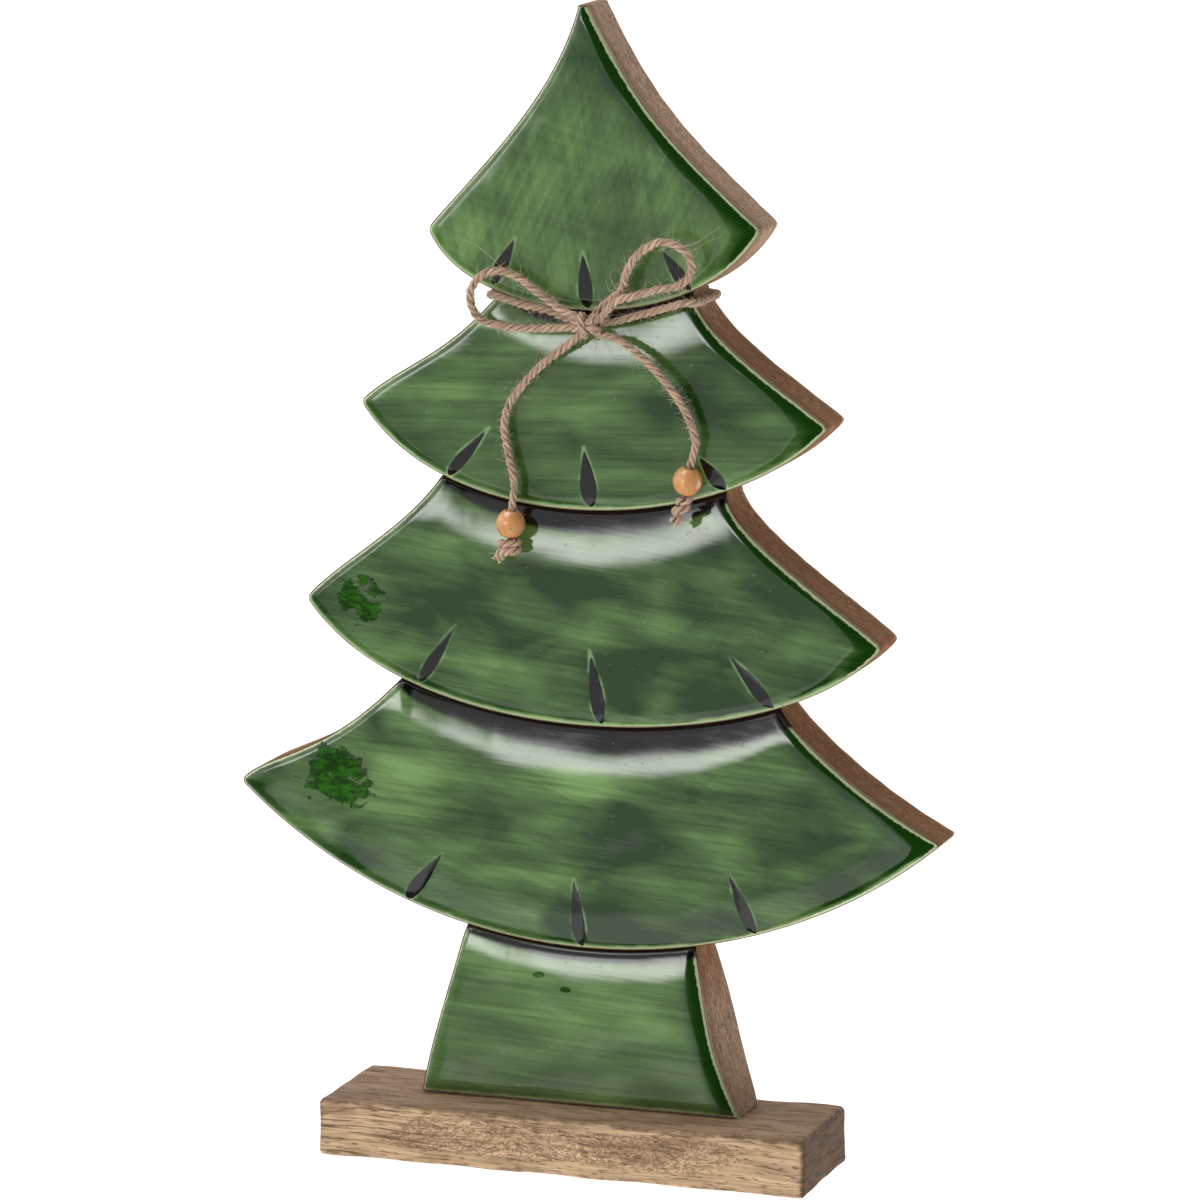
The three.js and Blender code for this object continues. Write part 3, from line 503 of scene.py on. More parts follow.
def plinth_material(settings):
    """Tan wood with dark streaks, a curly figure on the front, a browner top and end, and worn edges."""
    made, shader = material("plinth_wood", Roughness=0.65, Specular_IOR_Level=0.12)
    place = shader.place()
    x, y, z = (axis / MM for axis in shader.axes(place))
    half = (PLINTH_HIGH - PLINTH_LOW) / 2
    bend = shader.noise((60, 40, 18), detail=1.0)
    bent = shader.node(
        "ShaderNodeVectorMath",
        {"operation": "ADD"},
        {0: place, 1: shader.vector(z=(bend - 0.5) * 9 * MM)},
    )
    streaks = shader.noise((60, 6, 1.7), detail=5.0, roughness=0.72, vector=bent)
    lines = shader.noise((26, 2.4, 0.6), detail=3.0, roughness=0.65, vector=bent, shift=0.11)
    curls = shader.noise((2.6, 2.6, 1.25), detail=2.5, roughness=0.62, distortion=1.8, vector=bent)
    pores = shader.noise((4.5, 2, 0.5), detail=1.0, vector=bent).rises(0.62, 0.70)
    blotch = shader.noise((30, 14, 7), detail=3.0, roughness=0.6, vector=bent, shift=0.05)
    rough_top = shader.noise((20, 2.2, 9), detail=5.0, roughness=0.75, shift=0.3)
    end_grain = shader.noise((3, 9, 1.1), detail=4.0, roughness=0.7, distortion=0.3, shift=0.2)
    rubbed = shader.noise((5, 3, 2), detail=4.0, roughness=0.65)
    light, brown, dark = settings.plinth, (0.20, 0.115, 0.065), (0.10, 0.052, 0.028)
    upwards, leftwards = z.rises(6, 18), x.rises(-20, -70)
    upper = z.rises(2 * half[2] - 1.6, 2 * half[2] - 0.4)
    front = y.rises(1.2 - half[1], 0.3 - half[1])
    figured = x.rises(-78, -48) * x.rises(84, 52) * z.rises(2.0, 7.0) * z.rises(19.5, 15)
    curly = curls.rises(0.50, 0.56) * (figured + (blotch - 0.5) * 2.2).rises(0.35, 0.8) * front
    sawn_end = shader.mix(end_grain.rises(0.38, 0.64), (0.185, 0.105, 0.056), (0.085, 0.047, 0.024))
    # worn and darkened arrises, with pale chips
    ends, faces, flats = (
        abs(off).rises(reach - 2.6, reach - 0.6) for off, reach in zip((x, y, z - half[2]), half.tolist())
    )
    arris = (ends * faces + faces * flats + flats * ends).clamped()
    shader.set("Base Color", shader.layered(
        shaded(light, 0.66),
        (streaks.rises(0.32, 0.66), light),
        (blotch.rises(0.48, 0.68) * (0.35 + 0.3 * upwards), brown),
        (lines.rises(0.5, 0.64) * (0.3 + 0.45 * leftwards + 0.2 * upwards), dark),
        (curly * 0.62, brown),
        (pores * 0.6, dark),
        (upper * 0.6, (0.24, 0.15, 0.1)),
        (upper * rough_top.rises(0.5, 0.62) * 0.6, (0.13, 0.075, 0.045)),
        (upper * rough_top.rises(0.46, 0.36) * 0.45, (0.42, 0.29, 0.19)),
        (x.rises(half[0] - 2.0, half[0] - 0.4), sawn_end),
        (arris * rubbed.rises(0.42, 0.62) * 0.6, dark),
        (arris * rubbed.rises(0.44, 0.34) * 0.4, light),
    ))
    shader.bump(streaks * 0.5 - curly * 0.6 - pores * 0.6 + rubbed * arris * 0.7, 0.25)
    return made


def bead_material(settings):
    made, shader = material("bead_wood", Roughness=0.32, IOR=1.5, Coat_Weight=1.0, Coat_Roughness=0.14)
    grain = shader.noise((1.2, 1.2, 7), detail=3.0, roughness=0.6)
    flecks = shader.noise((0.55, 0.55, 1.6), detail=0.0).rises(0.64, 0.74)
    patch = shader.noise((6, 6, 6), detail=1.0)
    light, dark, darkest = (shaded(settings.bead, factor) for factor in (1.12, 0.86, 0.42))
    shader.set("Base Color", shader.layered(
        dark, (grain.rises(0.3, 0.7), light), (patch.rises(0.4, 0.7) * 0.5, light), (flecks * 0.55, darkest)
    ))
    shader.bump(grain, 0.04)
    return made


def twine_material(settings):
    made, shader = material("jute_twine", Roughness=0.88, IOR=1.4, Sheen_Weight=0.25, Sheen_Roughness=0.5)
    along, around, depth = shader.attribute("along"), shader.attribute("around"), shader.attribute("depth")
    spun = shader.vector(along * MM, around * MM)
    hairs = shader.noise((5.5, 0.35, 1), detail=3.0, roughness=0.7, vector=spun)
    clumps = shader.noise((9, 3, 1), vector=spun, shift=0.4)
    shader.set("Base Color", shader.layered(
        settings.dark,
        (hairs.rises(0.32, 0.66), settings.lit),
        (clumps.rises(0.45, 0.7) * 0.4, shaded(settings.lit, 1.2)),
        # painted shade: the twine darkens where its surface lies deep between the plies
        (depth.rises(0.9, 0.25) * 0.75, shaded(settings.dark, 0.35)),
    ))
    shader.bump(hairs, 0.22)
    return made


def fibre_material(name, colour):
    made, shader = material(name, Roughness=0.7, IOR=1.4)
    shade = shader.noise((3, 3, 3), detail=1.0)
    shader.set("Base Color", shader.mix(shade.rises(0.3, 0.7), shaded(colour, 0.6), colour))
    return made


def steel_material():
    made, shader = material("screw_steel", Metallic=1.0)
    scuffs = shader.noise((2.5, 0.4, 2.5), detail=3.0)
    shader.set("Base Color", shader.mix(scuffs.rises(0.3, 0.7), (0.42, 0.43, 0.45), (0.62, 0.63, 0.66)))
    shader.set("Roughness", 0.28 + scuffs * 0.2)
    return made


# Meshes


def object_of(name, mesh):
    made = bpy.data.objects.new(name, mesh)
    bpy.context.scene.collection.objects.link(made)
    return made


def solid_object(name, points, faces):
    """A mesh object from points in millimetres."""
    mesh = bpy.data.meshes.new(name)
    mesh.from_pydata((np.asarray(points, float) * MM).tolist(), [], faces)
    return object_of(name, mesh)


def add_piece(name, shape, made, node=None, body="root"):
    """A visible piece from (points, faces) or (points, faces, attributes), which may stand for a node."""
    piece = solid_object(name, *shape[:2])
    mesh = piece.data
    mesh.validate()
    mesh.shade_smooth()
    for key, values in (shape[2] if len(shape) > 2 else {}).items():
        attribute = mesh.attributes.new(key, "FLOAT", "POINT")
        attribute.data.foreach_set("value", np.asarray(values, np.float32))
    mesh.materials.append(made)
    claim(piece, node, body)
    return piece


def claim(piece, node=None, body="root"):
    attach(piece, body)
    if node:
        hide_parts(node)


def bezier(a, b, c, d, count=300):
    t = np.linspace(0, 1, count)[:, None]
    a, b, c, d = (np.array(p, float) for p in (a, b, c, d))
    return (1 - t) ** 3 * a + 3 * (1 - t) ** 2 * t * b + 3 * (1 - t) * t**2 * c + t**3 * d


def length_along(line):
    return np.concatenate([[0], np.cumsum(np.linalg.norm(np.diff(line, axis=0), axis=1))])


def at_length(line, where):
    along = length_along(line)
    return np.stack([np.interp(where, along, line[:, k]) for k in range(line.shape[1])], axis=-1)


def at_share(line, share):
    return at_length(line, np.asarray(share) * length_along(line)[-1])


def at_x(line, x):
    return np.stack([x, np.interp(x, line[:, 0], line[:, 1])], axis=-1)


def distance_to(line, points):
    dense = at_share(line, np.linspace(0, 1, int(length_along(line)[-1] * 4) + 2))
    tree = KDTree(len(dense))
    for i, (x, z) in enumerate(dense):
        tree.insert((x, z, 0), i)
    tree.balance()
    flat = points.reshape(-1, 2)
    found = np.array([tree.find((x, z, 0))[2] for x, z in flat])
    return found.reshape(points.shape[:-1])


def ripple(points, length, seed):
    """Smooth waves between -1 and 1, about so long, the same ones for the same seed."""
    draw = np.random.default_rng(seed)
    total = np.zeros(points.shape[:-1])
    count = 7
    for _ in range(count):
        turn, phase, stretch = draw.uniform(0, 2 * math.pi, 2).tolist() + [draw.uniform(0.7, 1.6)]
        way = np.array([math.cos(turn), math.sin(turn)]) * 2 * math.pi / (length * stretch)
        total += np.sin(points @ way + phase)
    return total / math.sqrt(count)


def rise(distance, over):
    return 1 - (1 - np.clip(distance / over, 0, 1)) ** 2


def ease(value):
    value = np.clip(value, 0, 1)
    return value * value * (3 - 2 * value)


class Patch:
    """One tier of the carved front, or the trunk. Millimetres, as (x, z)."""

    def __init__(self, shape, above):
        self.shape, self.above, self.name = shape, above, shape["name"]
        raised = np.array([0, PLINTH_HIGH[2]])
        tip, start, self.flank = {}, {}, {}
        for side in SIDES:
            part = shape[side]
            tip[side] = np.array(part.get("tip", (part.get("foot"), GLUE))) + raised
            if above:
                start[side] = at_x(above.lip, np.array(float(part["neck"])))
            else:
                half = APEX_WIDTH / 2 * (-1 if side == "left" else 1)
                start[side] = np.array(shape["apex"]) + raised + [half, 0]
            bends = [np.array(b) + raised for b in part["bends"]]
            self.flank[side] = bezier(start[side], *bends, tip[side])
        self.start, self.tip = start, tip
        if "lip" in shape:
            self.lip = bezier(tip["left"], *[np.array(b) + raised for b in shape["lip"]], tip["right"])
        else:
            self.lip = np.linspace(tip["left"], tip["right"], 200)
        centre = at_x(self.lip, (tip["left"][0] + tip["right"][0]) / 2)
        self.height = start["left"][1] - centre[1]
        self.cut = TIP_CUT if "lip" in shape else 0.0

    def top(self, u):
        """Points of the upper edge, at shares of the way from left to right."""
        x = self.start["left"][0] * (1 - u) + self.start["right"][0] * u
        if self.above:
            return at_x(self.above.lip, x)
        return np.stack([x, np.full_like(x, self.start["left"][1])], axis=-1)

    def bottom(self, u):
        cut = self.cut / length_along(self.lip)[-1]
        return at_share(self.lip, cut + (1 - 2 * cut) * u)

    def edge(self, side, v):
        """Points of a flank, at shares of the way down, with its tip rounded."""
        flank = self.flank[side]
        reach = 1 - self.cut / length_along(flank)[-1]
        turn = 1 - self.cut / self.height
        first = at_share(flank, np.clip(v / turn, 0, 1) * reach)
        if not self.cut:
            return first
        t = np.clip((v - turn) / (1 - turn), 0, 1)[..., None]
        begin = at_share(flank, np.array([reach]))
        end = self.bottom(np.array([0.0 if side == "left" else 1.0]))
        rounded = (1 - t) ** 2 * begin + 2 * (1 - t) * t * self.tip[side] + t**2 * end
        return np.where(t > 0, rounded, first)

    def grid(self, rows, offsets, spacing):
        """Points at the rows, which are shares of the way down, with columns that crowd at both flanks."""
        left, right = self.edge("left", rows), self.edge("right", rows)
        width = np.linalg.norm(left - right, axis=1)
        inner = max(4, int(width.max() / spacing))
        near = np.array(offsets)[None] * np.minimum(1, width / 30)[:, None] / width[:, None]
        middle = np.linspace(0, 1, inner + 2)[1:-1]
        across = near[:, -1:] * (1 - middle) + (1 - near[:, -1:]) * middle
        u = np.concatenate([near, across, 1 - near[:, ::-1]], axis=1)
        v = rows[:, None]
        top, bottom = self.top(u), self.bottom(u)
        u, v = u[..., None], v[..., None]
        across = left[:, None] * (1 - u) + right[:, None] * u
        down = top * (1 - v) + bottom * v
        ends = np.array([0.0, 1.0])
        (top_left, top_right), (low_left, low_right) = self.top(ends), self.bottom(ends)
        corners = (1 - v) * ((1 - u) * top_left + u * top_right) + v * ((1 - u) * low_left + u * low_right)
        return across + down - corners

    def rows(self, near_top, near_lip, spacing):
        """Shares of the way down: at the given distances from both ends, and evenly between these."""
        head = np.array(near_top) / self.height
        foot = 1 - np.array(near_lip)[::-1] / self.height
        count = max(3, int((foot[0] - head[-1]) * self.height / spacing))
        return np.concatenate([head, np.linspace(head[-1], foot[0], count + 1)[1:-1], foot])

    def fields(self, points):
        """Distances that the relief and the paint go by."""
        found = {side: distance_to(self.flank[side], points) for side in SIDES}
        found["lip"] = distance_to(self.lip, points)
        if self.above:
            found["top"] = distance_to(self.above.lip, points)
        else:
            found["top"] = np.full(points.shape[:-1], FAR)
        found["rim"] = np.minimum(np.minimum(found["left"], found["right"]), found["lip"])
        # the paint goes by this to stay deep green near the right flank and the right tip, partly as painted shade
        past = 12 * (1 - self.corner(points))
        found["dark"] = np.minimum(found["right"], found["lip"] + past)
        found["groove"] = self.notch_distance(points)
        found["shade"] = self.shade_distance(points, found["top"])
        found["glow"] = self.glow(points)
        return found

    def notch_distance(self, points):
        """About how far a point is from the nearest notch, and below 0 inside one."""
        nearest = np.full(points.shape[:-1], FAR)
        for foot, lift, lean, length, width in self.shape["notches"]:
            turned = math.radians(lean)
            along = np.array([math.sin(turned), math.cos(turned)])
            base = at_x(self.lip, np.array(float(foot))) + [0, lift]
            offset = points - base
            s = offset @ along / length
            sideways = np.abs(offset @ np.array([along[1], -along[0]]))
            inside = np.clip(s, 0, 1)
            half = width / 2 * np.sin(math.pi * inside**0.62) ** 1.1
            beyond = np.abs(s - inside) * length
            nearest = np.minimum(nearest, np.hypot(np.maximum(sideways - half, 0), beyond)
                                 + np.minimum(sideways - half, 0) * (beyond == 0))
        return nearest

    def across(self, points, name):
        """A size that is given at shares of the way from neck to neck."""
        stops = np.array(self.shape[name])
        share = (points[..., 0] - self.start["left"][0]) / (self.start["right"][0] - self.start["left"][0])
        return np.interp(share, stops[:, 0], stops[:, 1])

    def shade_distance(self, points, from_top):
        """How far a point is below the dark hollow under the lip above."""
        if not self.above:
            return np.full(points.shape[:-1], FAR)
        return from_top - self.across(points, "groove")

    def glow(self, points):
        """How much of the paler green there is."""
        total = np.full(points.shape[:-1], float(self.shape["light"]))
        for x, z, wide, high, amount in self.shape["glows"]:
            offset = (points - [x, z + PLINTH_HIGH[2]]) / [wide, high]
            total += amount * np.exp(-((offset**2).sum(axis=-1)) * 0.8)
        return total

    def corner(self, points):
        """1 at the right tip, and less and less along the lip."""
        from_tip = np.linalg.norm(points - self.tip["right"], axis=-1)
        return np.exp(-((from_tip / self.shape["corner"]) ** 4))

    def relief(self, points, found):
        """y of the carved front."""
        uneven = 1 + 0.3 * ripple(points, length=30, seed=11)
        from_tip = np.linalg.norm(points - self.tip["right"], axis=-1)
        flank, tip = self.shape["round"]
        reach_right = flank * uneven + tip * np.exp(-((from_tip / 15) ** 2))
        steep, gentle = rise(found["left"], ROUNDING * 0.5), rise(found["left"], ROUNDING * 1.8)
        swell = SWELL * (0.75 * steep + 0.25 * gentle) * rise(found["right"], reach_right)
        swell = swell * rise(found["lip"], ROUNDING * (0.8 + self.corner(points)))
        y = RIM - swell + self.shape.get("droop", 0) * np.clip(1 - found["lip"] / 16, 0, 1) ** 2
        if self.above:
            # an even slope as far as the dark band reaches, which then eases out
            soft = self.across(points, "ease")
            below = found["top"] - self.across(points, "groove") + COVE["lead"] * soft
            left_over = np.clip(soft - below, 0, soft)
            drop = COVE["slope"] * (left_over**2 / (2 * soft) + np.clip(-below, 0, None))
            drop += COVE["undercut"] * np.clip(1 - found["top"] / COVE["undercut_reach"], 0, 1) ** 2
            side = np.minimum(found["left"], found["right"])
            fade = COVE["at_flank"] + (1 - COVE["at_flank"]) * np.clip(side / COVE["fade"], 0, 1)
            y += drop * fade
        calm = ease(found["rim"] / 6)
        hand_sanded = 0.10 * ripple(points, length=46, seed=5) + 0.035 * ripple(points, length=15, seed=6)
        return y + calm * hand_sanded


def make_patches():
    patches = []
    for shape in TIERS:
        patches.append(Patch(shape, patches[-1] if patches else None))
    return patches


def grid_faces(rows, columns, start=0, flip=False):
    """Faces of a grid of points, from the index of its first one on."""
    index = np.arange(rows * columns).reshape(rows, columns) + start
    quads = np.stack([index[:-1, :-1], index[1:, :-1], index[1:, 1:], index[:-1, 1:]], axis=-1).reshape(-1, 4)
    return (quads[:, ::-1] if flip else quads).tolist()


def rim_loop(rows, columns, start=0):
    """The rim of a grid, anticlockwise as seen from the front."""
    index = np.arange(rows * columns).reshape(rows, columns) + start
    return np.concatenate([index[:, 0], index[-1, 1:], index[-2::-1, -1], index[0, -2:0:-1]])


def ring_faces(index):
    """Faces between rings of points, from an array with a row of indices for each ring."""
    ahead = np.roll(index, -1, axis=1)
    return np.stack([index[:-1], ahead[:-1], ahead[1:], index[1:]], axis=-1).reshape(-1, 4).tolist()


def turned_rings(profile, segments):
    """Points of a profile of (radius, z) turned about the z axis, a row for each ring."""
    turn = np.linspace(0, 2 * math.pi, segments, endpoint=False)
    rings = [np.stack([r * np.cos(turn), r * np.sin(turn), np.full(segments, z)], axis=1) for r, z in profile]
    return np.array(rings)


def wall_faces(first, second):
    return np.stack([first, second, np.roll(second, -1), np.roll(first, -1)], axis=-1).tolist()


def in_space(points, y):
    """Points (x, z) of a grid at their y, as a list of (x, y, z)."""
    return np.stack([points[..., 0], y, points[..., 1]], axis=-1).reshape(-1, 3)


def enamel_piece(patch, settings, made):
    """A closed shell: the glossy front with rolled edges, and its back on the wood."""
    spacing = settings.spacing / MM
    # the mesh's lines crowd near its edges, at these distances from them
    edge_lines = [ENAMEL["inset"], 0.4, 0.55, 0.75, 1.0, 1.4, 1.9, 2.6, 3.4, 4.3]
    lip_lines = [0.12, 0.25, 0.45, 0.7, 1.0, 1.5, 2.2, 3.0]
    top_lines = [ENAMEL["gap"], 0.9, 1.6, 2.4] if patch.above else [0.5, 0.75, 1.1, 1.8, 3.0]
    foot = lip_lines if patch.name != "trunk" else edge_lines
    points = patch.grid(patch.rows(top_lines, foot, spacing), edge_lines, spacing)
    found = patch.fields(points)
    seat = patch.relief(points, found)
    fall = np.minimum(found["left"], found["right"]) - ENAMEL["inset"]
    fall = np.minimum(fall, found["lip"] - foot[0])
    if not patch.above:
        fall = np.minimum(fall, points[..., 1].max() + top_lines[0] - points[..., 1])
    near = np.clip(fall / ENAMEL["roll"], 0, 1)
    roll = ENAMEL["roll_depth"] * (1 - np.sqrt(np.clip(1 - (1 - near) ** 2, 0, 1)))
    cut = NOTCH_DEPTH * ease(0.4 - found["groove"] / 1.2)
    both = np.concatenate([in_space(points, seat + roll + cut), in_space(points, seat + ENAMEL["thickness"])])
    rows, columns = points.shape[:2]
    count = rows * columns
    faces = grid_faces(rows, columns) + grid_faces(rows, columns, count, flip=True)
    faces += wall_faces(rim_loop(rows, columns), rim_loop(rows, columns, count))
    names = ("groove", "shade", "lip", "rim", "dark", "glow")
    attributes = {name: np.tile(found[name].ravel(), 2) for name in names}
    node = "enamel_trunk" if patch.name == "trunk" else f"enamel_tier_{patch.name}"
    add_piece(f"{node}_coat", (both, faces, attributes), made, node)


def wood_solid(patch):
    """The board behind one patch, as points and faces: its front under the enamel, its sawn sides and its back."""
    depth = ENAMEL["thickness"] + ENAMEL["seat"]
    lines = [0, 0.3, 0.6, 1.2, 2, 4]
    rows = patch.rows([0, 1.2, 3] if patch.above else [0, 0.4, 0.9, 1.6, 3], lines, 2.4)
    points = patch.grid(rows, lines, 2.4)
    found = patch.fields(points)
    y = patch.relief(points, found)
    inside = np.ones(y.shape, bool)
    inside[:, 0] = inside[:, -1] = inside[-1] = False
    if not patch.above:
        inside[0] = False
    y = np.where(inside, y + depth, y)
    rim = found["rim"]
    if not patch.above:
        rim = np.minimum(rim, points[..., 1].max() - points[..., 1])
    rounding = BACK_EASING - np.clip(rim, 0, BACK_EASING)
    back_y = BACK - BACK_EASING + np.sqrt(BACK_EASING**2 - rounding**2)
    if patch.above:
        first = points[0]
        middle = (first[0, 0] + first[-1, 0]) / 2
        heights = np.linspace(first[0, 1], first[-1, 1], len(first)) + TONGUE
        tongue = np.stack([middle + (first[:, 0] - middle) * TONGUE_WIDTH, heights], axis=-1)
        points = np.concatenate([tongue[None], points])
        y = np.concatenate([y[:1] + depth, y])
        back_y = np.concatenate([np.full_like(back_y[:1], BACK - 1), back_y])
    if patch.name == "trunk":
        # its right side is sawn in a wave, which is deepest below its middle
        amount, reach = 3.4, 14
        up = (points[..., 1] - PLINTH_HIGH[2]) / (points[1, -1, 1] - PLINTH_HIGH[2])
        bulge = amount * np.sin(math.pi * np.clip(up, 0, 1) ** 0.8)
        bulge = bulge * ease((points[..., 0] - points[:, -1:, 0] + reach) / reach)
        bulge[0] = 0
    else:
        bulge = np.zeros_like(y)
    shape = points.shape[:2]
    vertices = [in_space(points, y)]
    faces = grid_faces(*shape)
    loop = rim_loop(*shape)
    flat, shift, front_y = points.reshape(-1, 2)[loop], bulge.reshape(-1)[loop], y.reshape(-1)[loop]
    ring = loop
    for share in (0.09, 0.2, 0.33, 0.48, 0.63, 0.8, 1.0):
        new = np.arange(len(loop)) + sum(len(v) for v in vertices)
        ring_y = front_y + (BACK - BACK_EASING - 1.5 - front_y) * share
        shown = ease((ring_y - RIM) / 14)
        vertices.append(np.stack([flat[:, 0] + shift * shown, ring_y, flat[:, 1]], axis=1))
        faces += wall_faces(ring, new)
        ring = new
    start = sum(len(v) for v in vertices)
    vertices.append(in_space(points + bulge[..., None] * [1, 0], back_y))
    faces += grid_faces(*shape, start, flip=True) + wall_faces(ring, loop + start)
    return np.concatenate(vertices), faces


def combined(base, others, operation):
    """The mesh of the base with each of the others joined to it or cut out of it; all of them are used up."""
    for other in others:
        modifier = base.modifiers.new(other.name, "BOOLEAN")
        modifier.operation, modifier.solver, modifier.object = operation, "MANIFOLD", other
    bpy.context.view_layer.update()
    shown = base.evaluated_get(bpy.context.evaluated_depsgraph_get())
    mesh = bpy.data.meshes.new_from_object(shown)
    for used in [base, *others]:
        bpy.data.objects.remove(used)
    return mesh


def lathe(profile, segments):
    """Points and faces of a closed body turned about the z axis; the profile starts and ends on it."""
    rings = turned_rings(profile[1:-1], segments).reshape(-1, 3)
    index = np.arange(len(rings)).reshape(-1, segments)
    faces = ring_faces(index)
    low, high = len(rings), len(rings) + 1
    ahead = np.roll(index, -1, axis=1)
    for i in range(segments):
        faces.append([low, int(ahead[0, i]), i])
        faces.append([high, int(index[-1, i]), int(ahead[-1, i])])
    return np.concatenate([rings, [[0, 0, profile[0][1]], [0, 0, profile[-1][1]]]]), faces


def screw_spaces():
    """The room for the two screws, from under the plinth up into the trunk."""
    spaces = []
    for side in SIDES:
        low, high = box_of(f"plinth_screw_{side}")
        centre = (low + high) / 2
        head, top = (high[0] - low[0]) / 2 + ROOM, high[2] + ROOM
        shank, sunk, head_depth, point = 2.0 + ROOM, 1.5, 2.4, 4.3
        profile = [
            (0, -1), (head, -1), (head, sunk), (shank, sunk + head_depth), (shank, top - point), (0.4, top), (0, top),
        ]
        points, faces = lathe(profile, 32)
        spaces.append(solid_object(f"space_{side}", points + [centre[0], centre[1], 0], faces))
    return spaces


def board_piece(patches, made):
    solids = [solid_object(f"wood_{p.name}", *wood_solid(p)) for p in patches]
    mesh = combined(solids[0], solids[1:], "UNION")
    mesh = combined(object_of("board_whole", mesh), screw_spaces(), "DIFFERENCE")
    finish(object_of("tree_board_wood", mesh), made, "tree_board", angle=32)


def finish(piece, made, node, angle):
    """Gives a cut mesh its material, with edges sharp from that angle on."""
    mesh = piece.data
    mesh.name = piece.name
    mesh.materials.clear()
    mesh.materials.append(made)
    mesh.shade_smooth()
    mesh.set_sharp_from_angle(angle=math.radians(angle))
    claim(piece, node)


def plinth_piece(settings, made):
    """A sawn block whose edges are worn round, by a different amount along their length."""
    size = PLINTH_HIGH - PLINTH_LOW
    centre = (PLINTH_HIGH + PLINTH_LOW) / 2
    counts = np.maximum(2, (size / 2.0).astype(int))
    vertices, faces = [], []
    for axis in range(3):
        a, b = [k for k in range(3) if k != axis]
        for sign in (-1, 1):
            u = crowded(counts[a])
            v = crowded(counts[b])
            points = np.zeros((len(u), len(v), 3))
            points[..., axis] = sign
            points[..., a], points[..., b] = u[:, None], v[None]
            start = sum(len(p) for p in vertices)
            vertices.append(points.reshape(-1, 3))
            flip = (sign > 0) != (axis == 1)
            faces += grid_faces(len(u), len(v), start, flip=not flip)
    cube = np.concatenate(vertices) * size / 2
    along_edges = cube[:, [0, 1]] + cube[:, [2, 2]] * 0.7
    wear = settings.easing / MM * (1 + 0.28 * ripple(along_edges, length=24, seed=3))[:, None]
    inner = np.clip(cube, wear - size / 2, size / 2 - wear)
    out = cube - inner
    away = np.linalg.norm(out, axis=1)[:, None]
    worn = inner + out / np.maximum(away, 1e-9) * np.minimum(wear, np.maximum(away, 1e-9))
    # the faces are a little hollow, except where the block stands and the trunk stands on it
    under = ease((worn[:, 2] + size[2] / 2) / 4)
    bow = 0.22 * ripple(worn[:, [0, 2]], length=55, seed=8)
    bow += 0.10 * ripple(worn[:, [0, 2]] + worn[:, [1, 1]], length=16, seed=9)
    inwards = -np.sign(worn) * ease((np.abs(worn) - size / 2 + 2.2) / 1.8)
    worn = worn + inwards * (0.28 + bow[:, None]).clip(0) * under[:, None] * [1, 1, 0.35]
    block = solid_object("block", worn + centre, faces)
    weld(block.data)
    mesh = combined(block, screw_spaces(), "DIFFERENCE")
    finish(object_of("plinth_block", mesh), made, "plinth", angle=50)


def crowded(count):
    """Shares from -1 to 1 that crowd towards both ends."""
    t = np.linspace(-1, 1, count + 1)
    return np.sin(t * math.pi / 2) * 0.5 + t * 0.5


def weld(mesh):
    edit = bmesh.new()
    edit.from_mesh(mesh)
    bmesh.ops.remove_doubles(edit, verts=edit.verts, dist=0.001 * MM)
    bmesh.ops.recalc_face_normals(edit, faces=edit.faces)
    edit.to_mesh(mesh)
    edit.free()


# Twine

# The strands' routes, from the middle of the bow's knot, in millimetres, as the frame has them
NICK = {"left": (-30.9, 300.7), "right": (42.8, 301.3)}
WRAP_TURN = 3.5
WRAP = {"left": [(-16, 4.3), (-25, 5.9)], "right": [(8.2, 1.4), (17.7, 4.1), (28.2, 7.3)]}
LOOPS = {
    "left": [
        (-7, -0.7, 4.1), (-16.3, -0.7, 9.8), (-24.1, -0.7, 15.2), (-30.3, -1.2, 17.4), (-36.6, -1.7, 15.9),
        (-40.9, -1.7, 10.6), (-41.1, -1.2, 5.3), (-38.1, -0.7, 0.6), (-30.7, -0.2, -1.4), (-20, -0.2, -1.9),
        (-9.3, -0.7, -1),
    ],
    "right": [
        (9.3, -0.2, 10.1), (12.8, -2.2, 13.1), (15.1, -4.2, 18.8), (18.6, -5.2, 24.5), (23.7, -5.7, 28.7),
        (28.5, -5.7, 30.3), (34.5, -5.7, 28.5), (37.8, -5.2, 24.7), (37.7, -4.7, 19.9), (34, -4.4, 15.9),
        (25.5, -4.2, 13.8), (17.9, -4, 11.4), (11.4, -3.6, 9.3),
    ],
}
TAILS = {
    "left": [
        (-5.4, -0.2, -5.6), (-15, 0.3, -12.9), (-22.3, 0.8, -20.1), (-28.3, 0.8, -28.4), (-30, 0.8, -35.3),
        (-28.7, 0.3, -44.2),
    ],
    "right": [
        (10.4, -1.7, -3.5), (18.8, -2.2, -8.6), (25.9, -2.2, -15), (31.7, -2.2, -21.5), (36.2, -1.7, -29.2),
        (38.4, -1.2, -35.9),
    ],
}
LEAVING = {
    "wrap": {"left": (-6, 3, 0.8), "right": (8.8, 2.4, 1.9)},
    "out": {"left": (-6, -1.4, 4.6), "right": (3.2, 1.2, 5.2)},
    "back": {"left": (-10, -2, -1.2), "right": (6.5, -1.8, 3.8)},
    "tail": {"left": (-5.2, -0.5, -5.5), "right": (6.5, -1.5, -3.6)},
}
HANG_UP = {"left": (0.1, 0, 0.995), "right": (0.218, 0, 0.976)}
BEAD_HEIGHT, BEAD_TRAVEL, CLEARANCE = 9.2, 8.0, 0.3


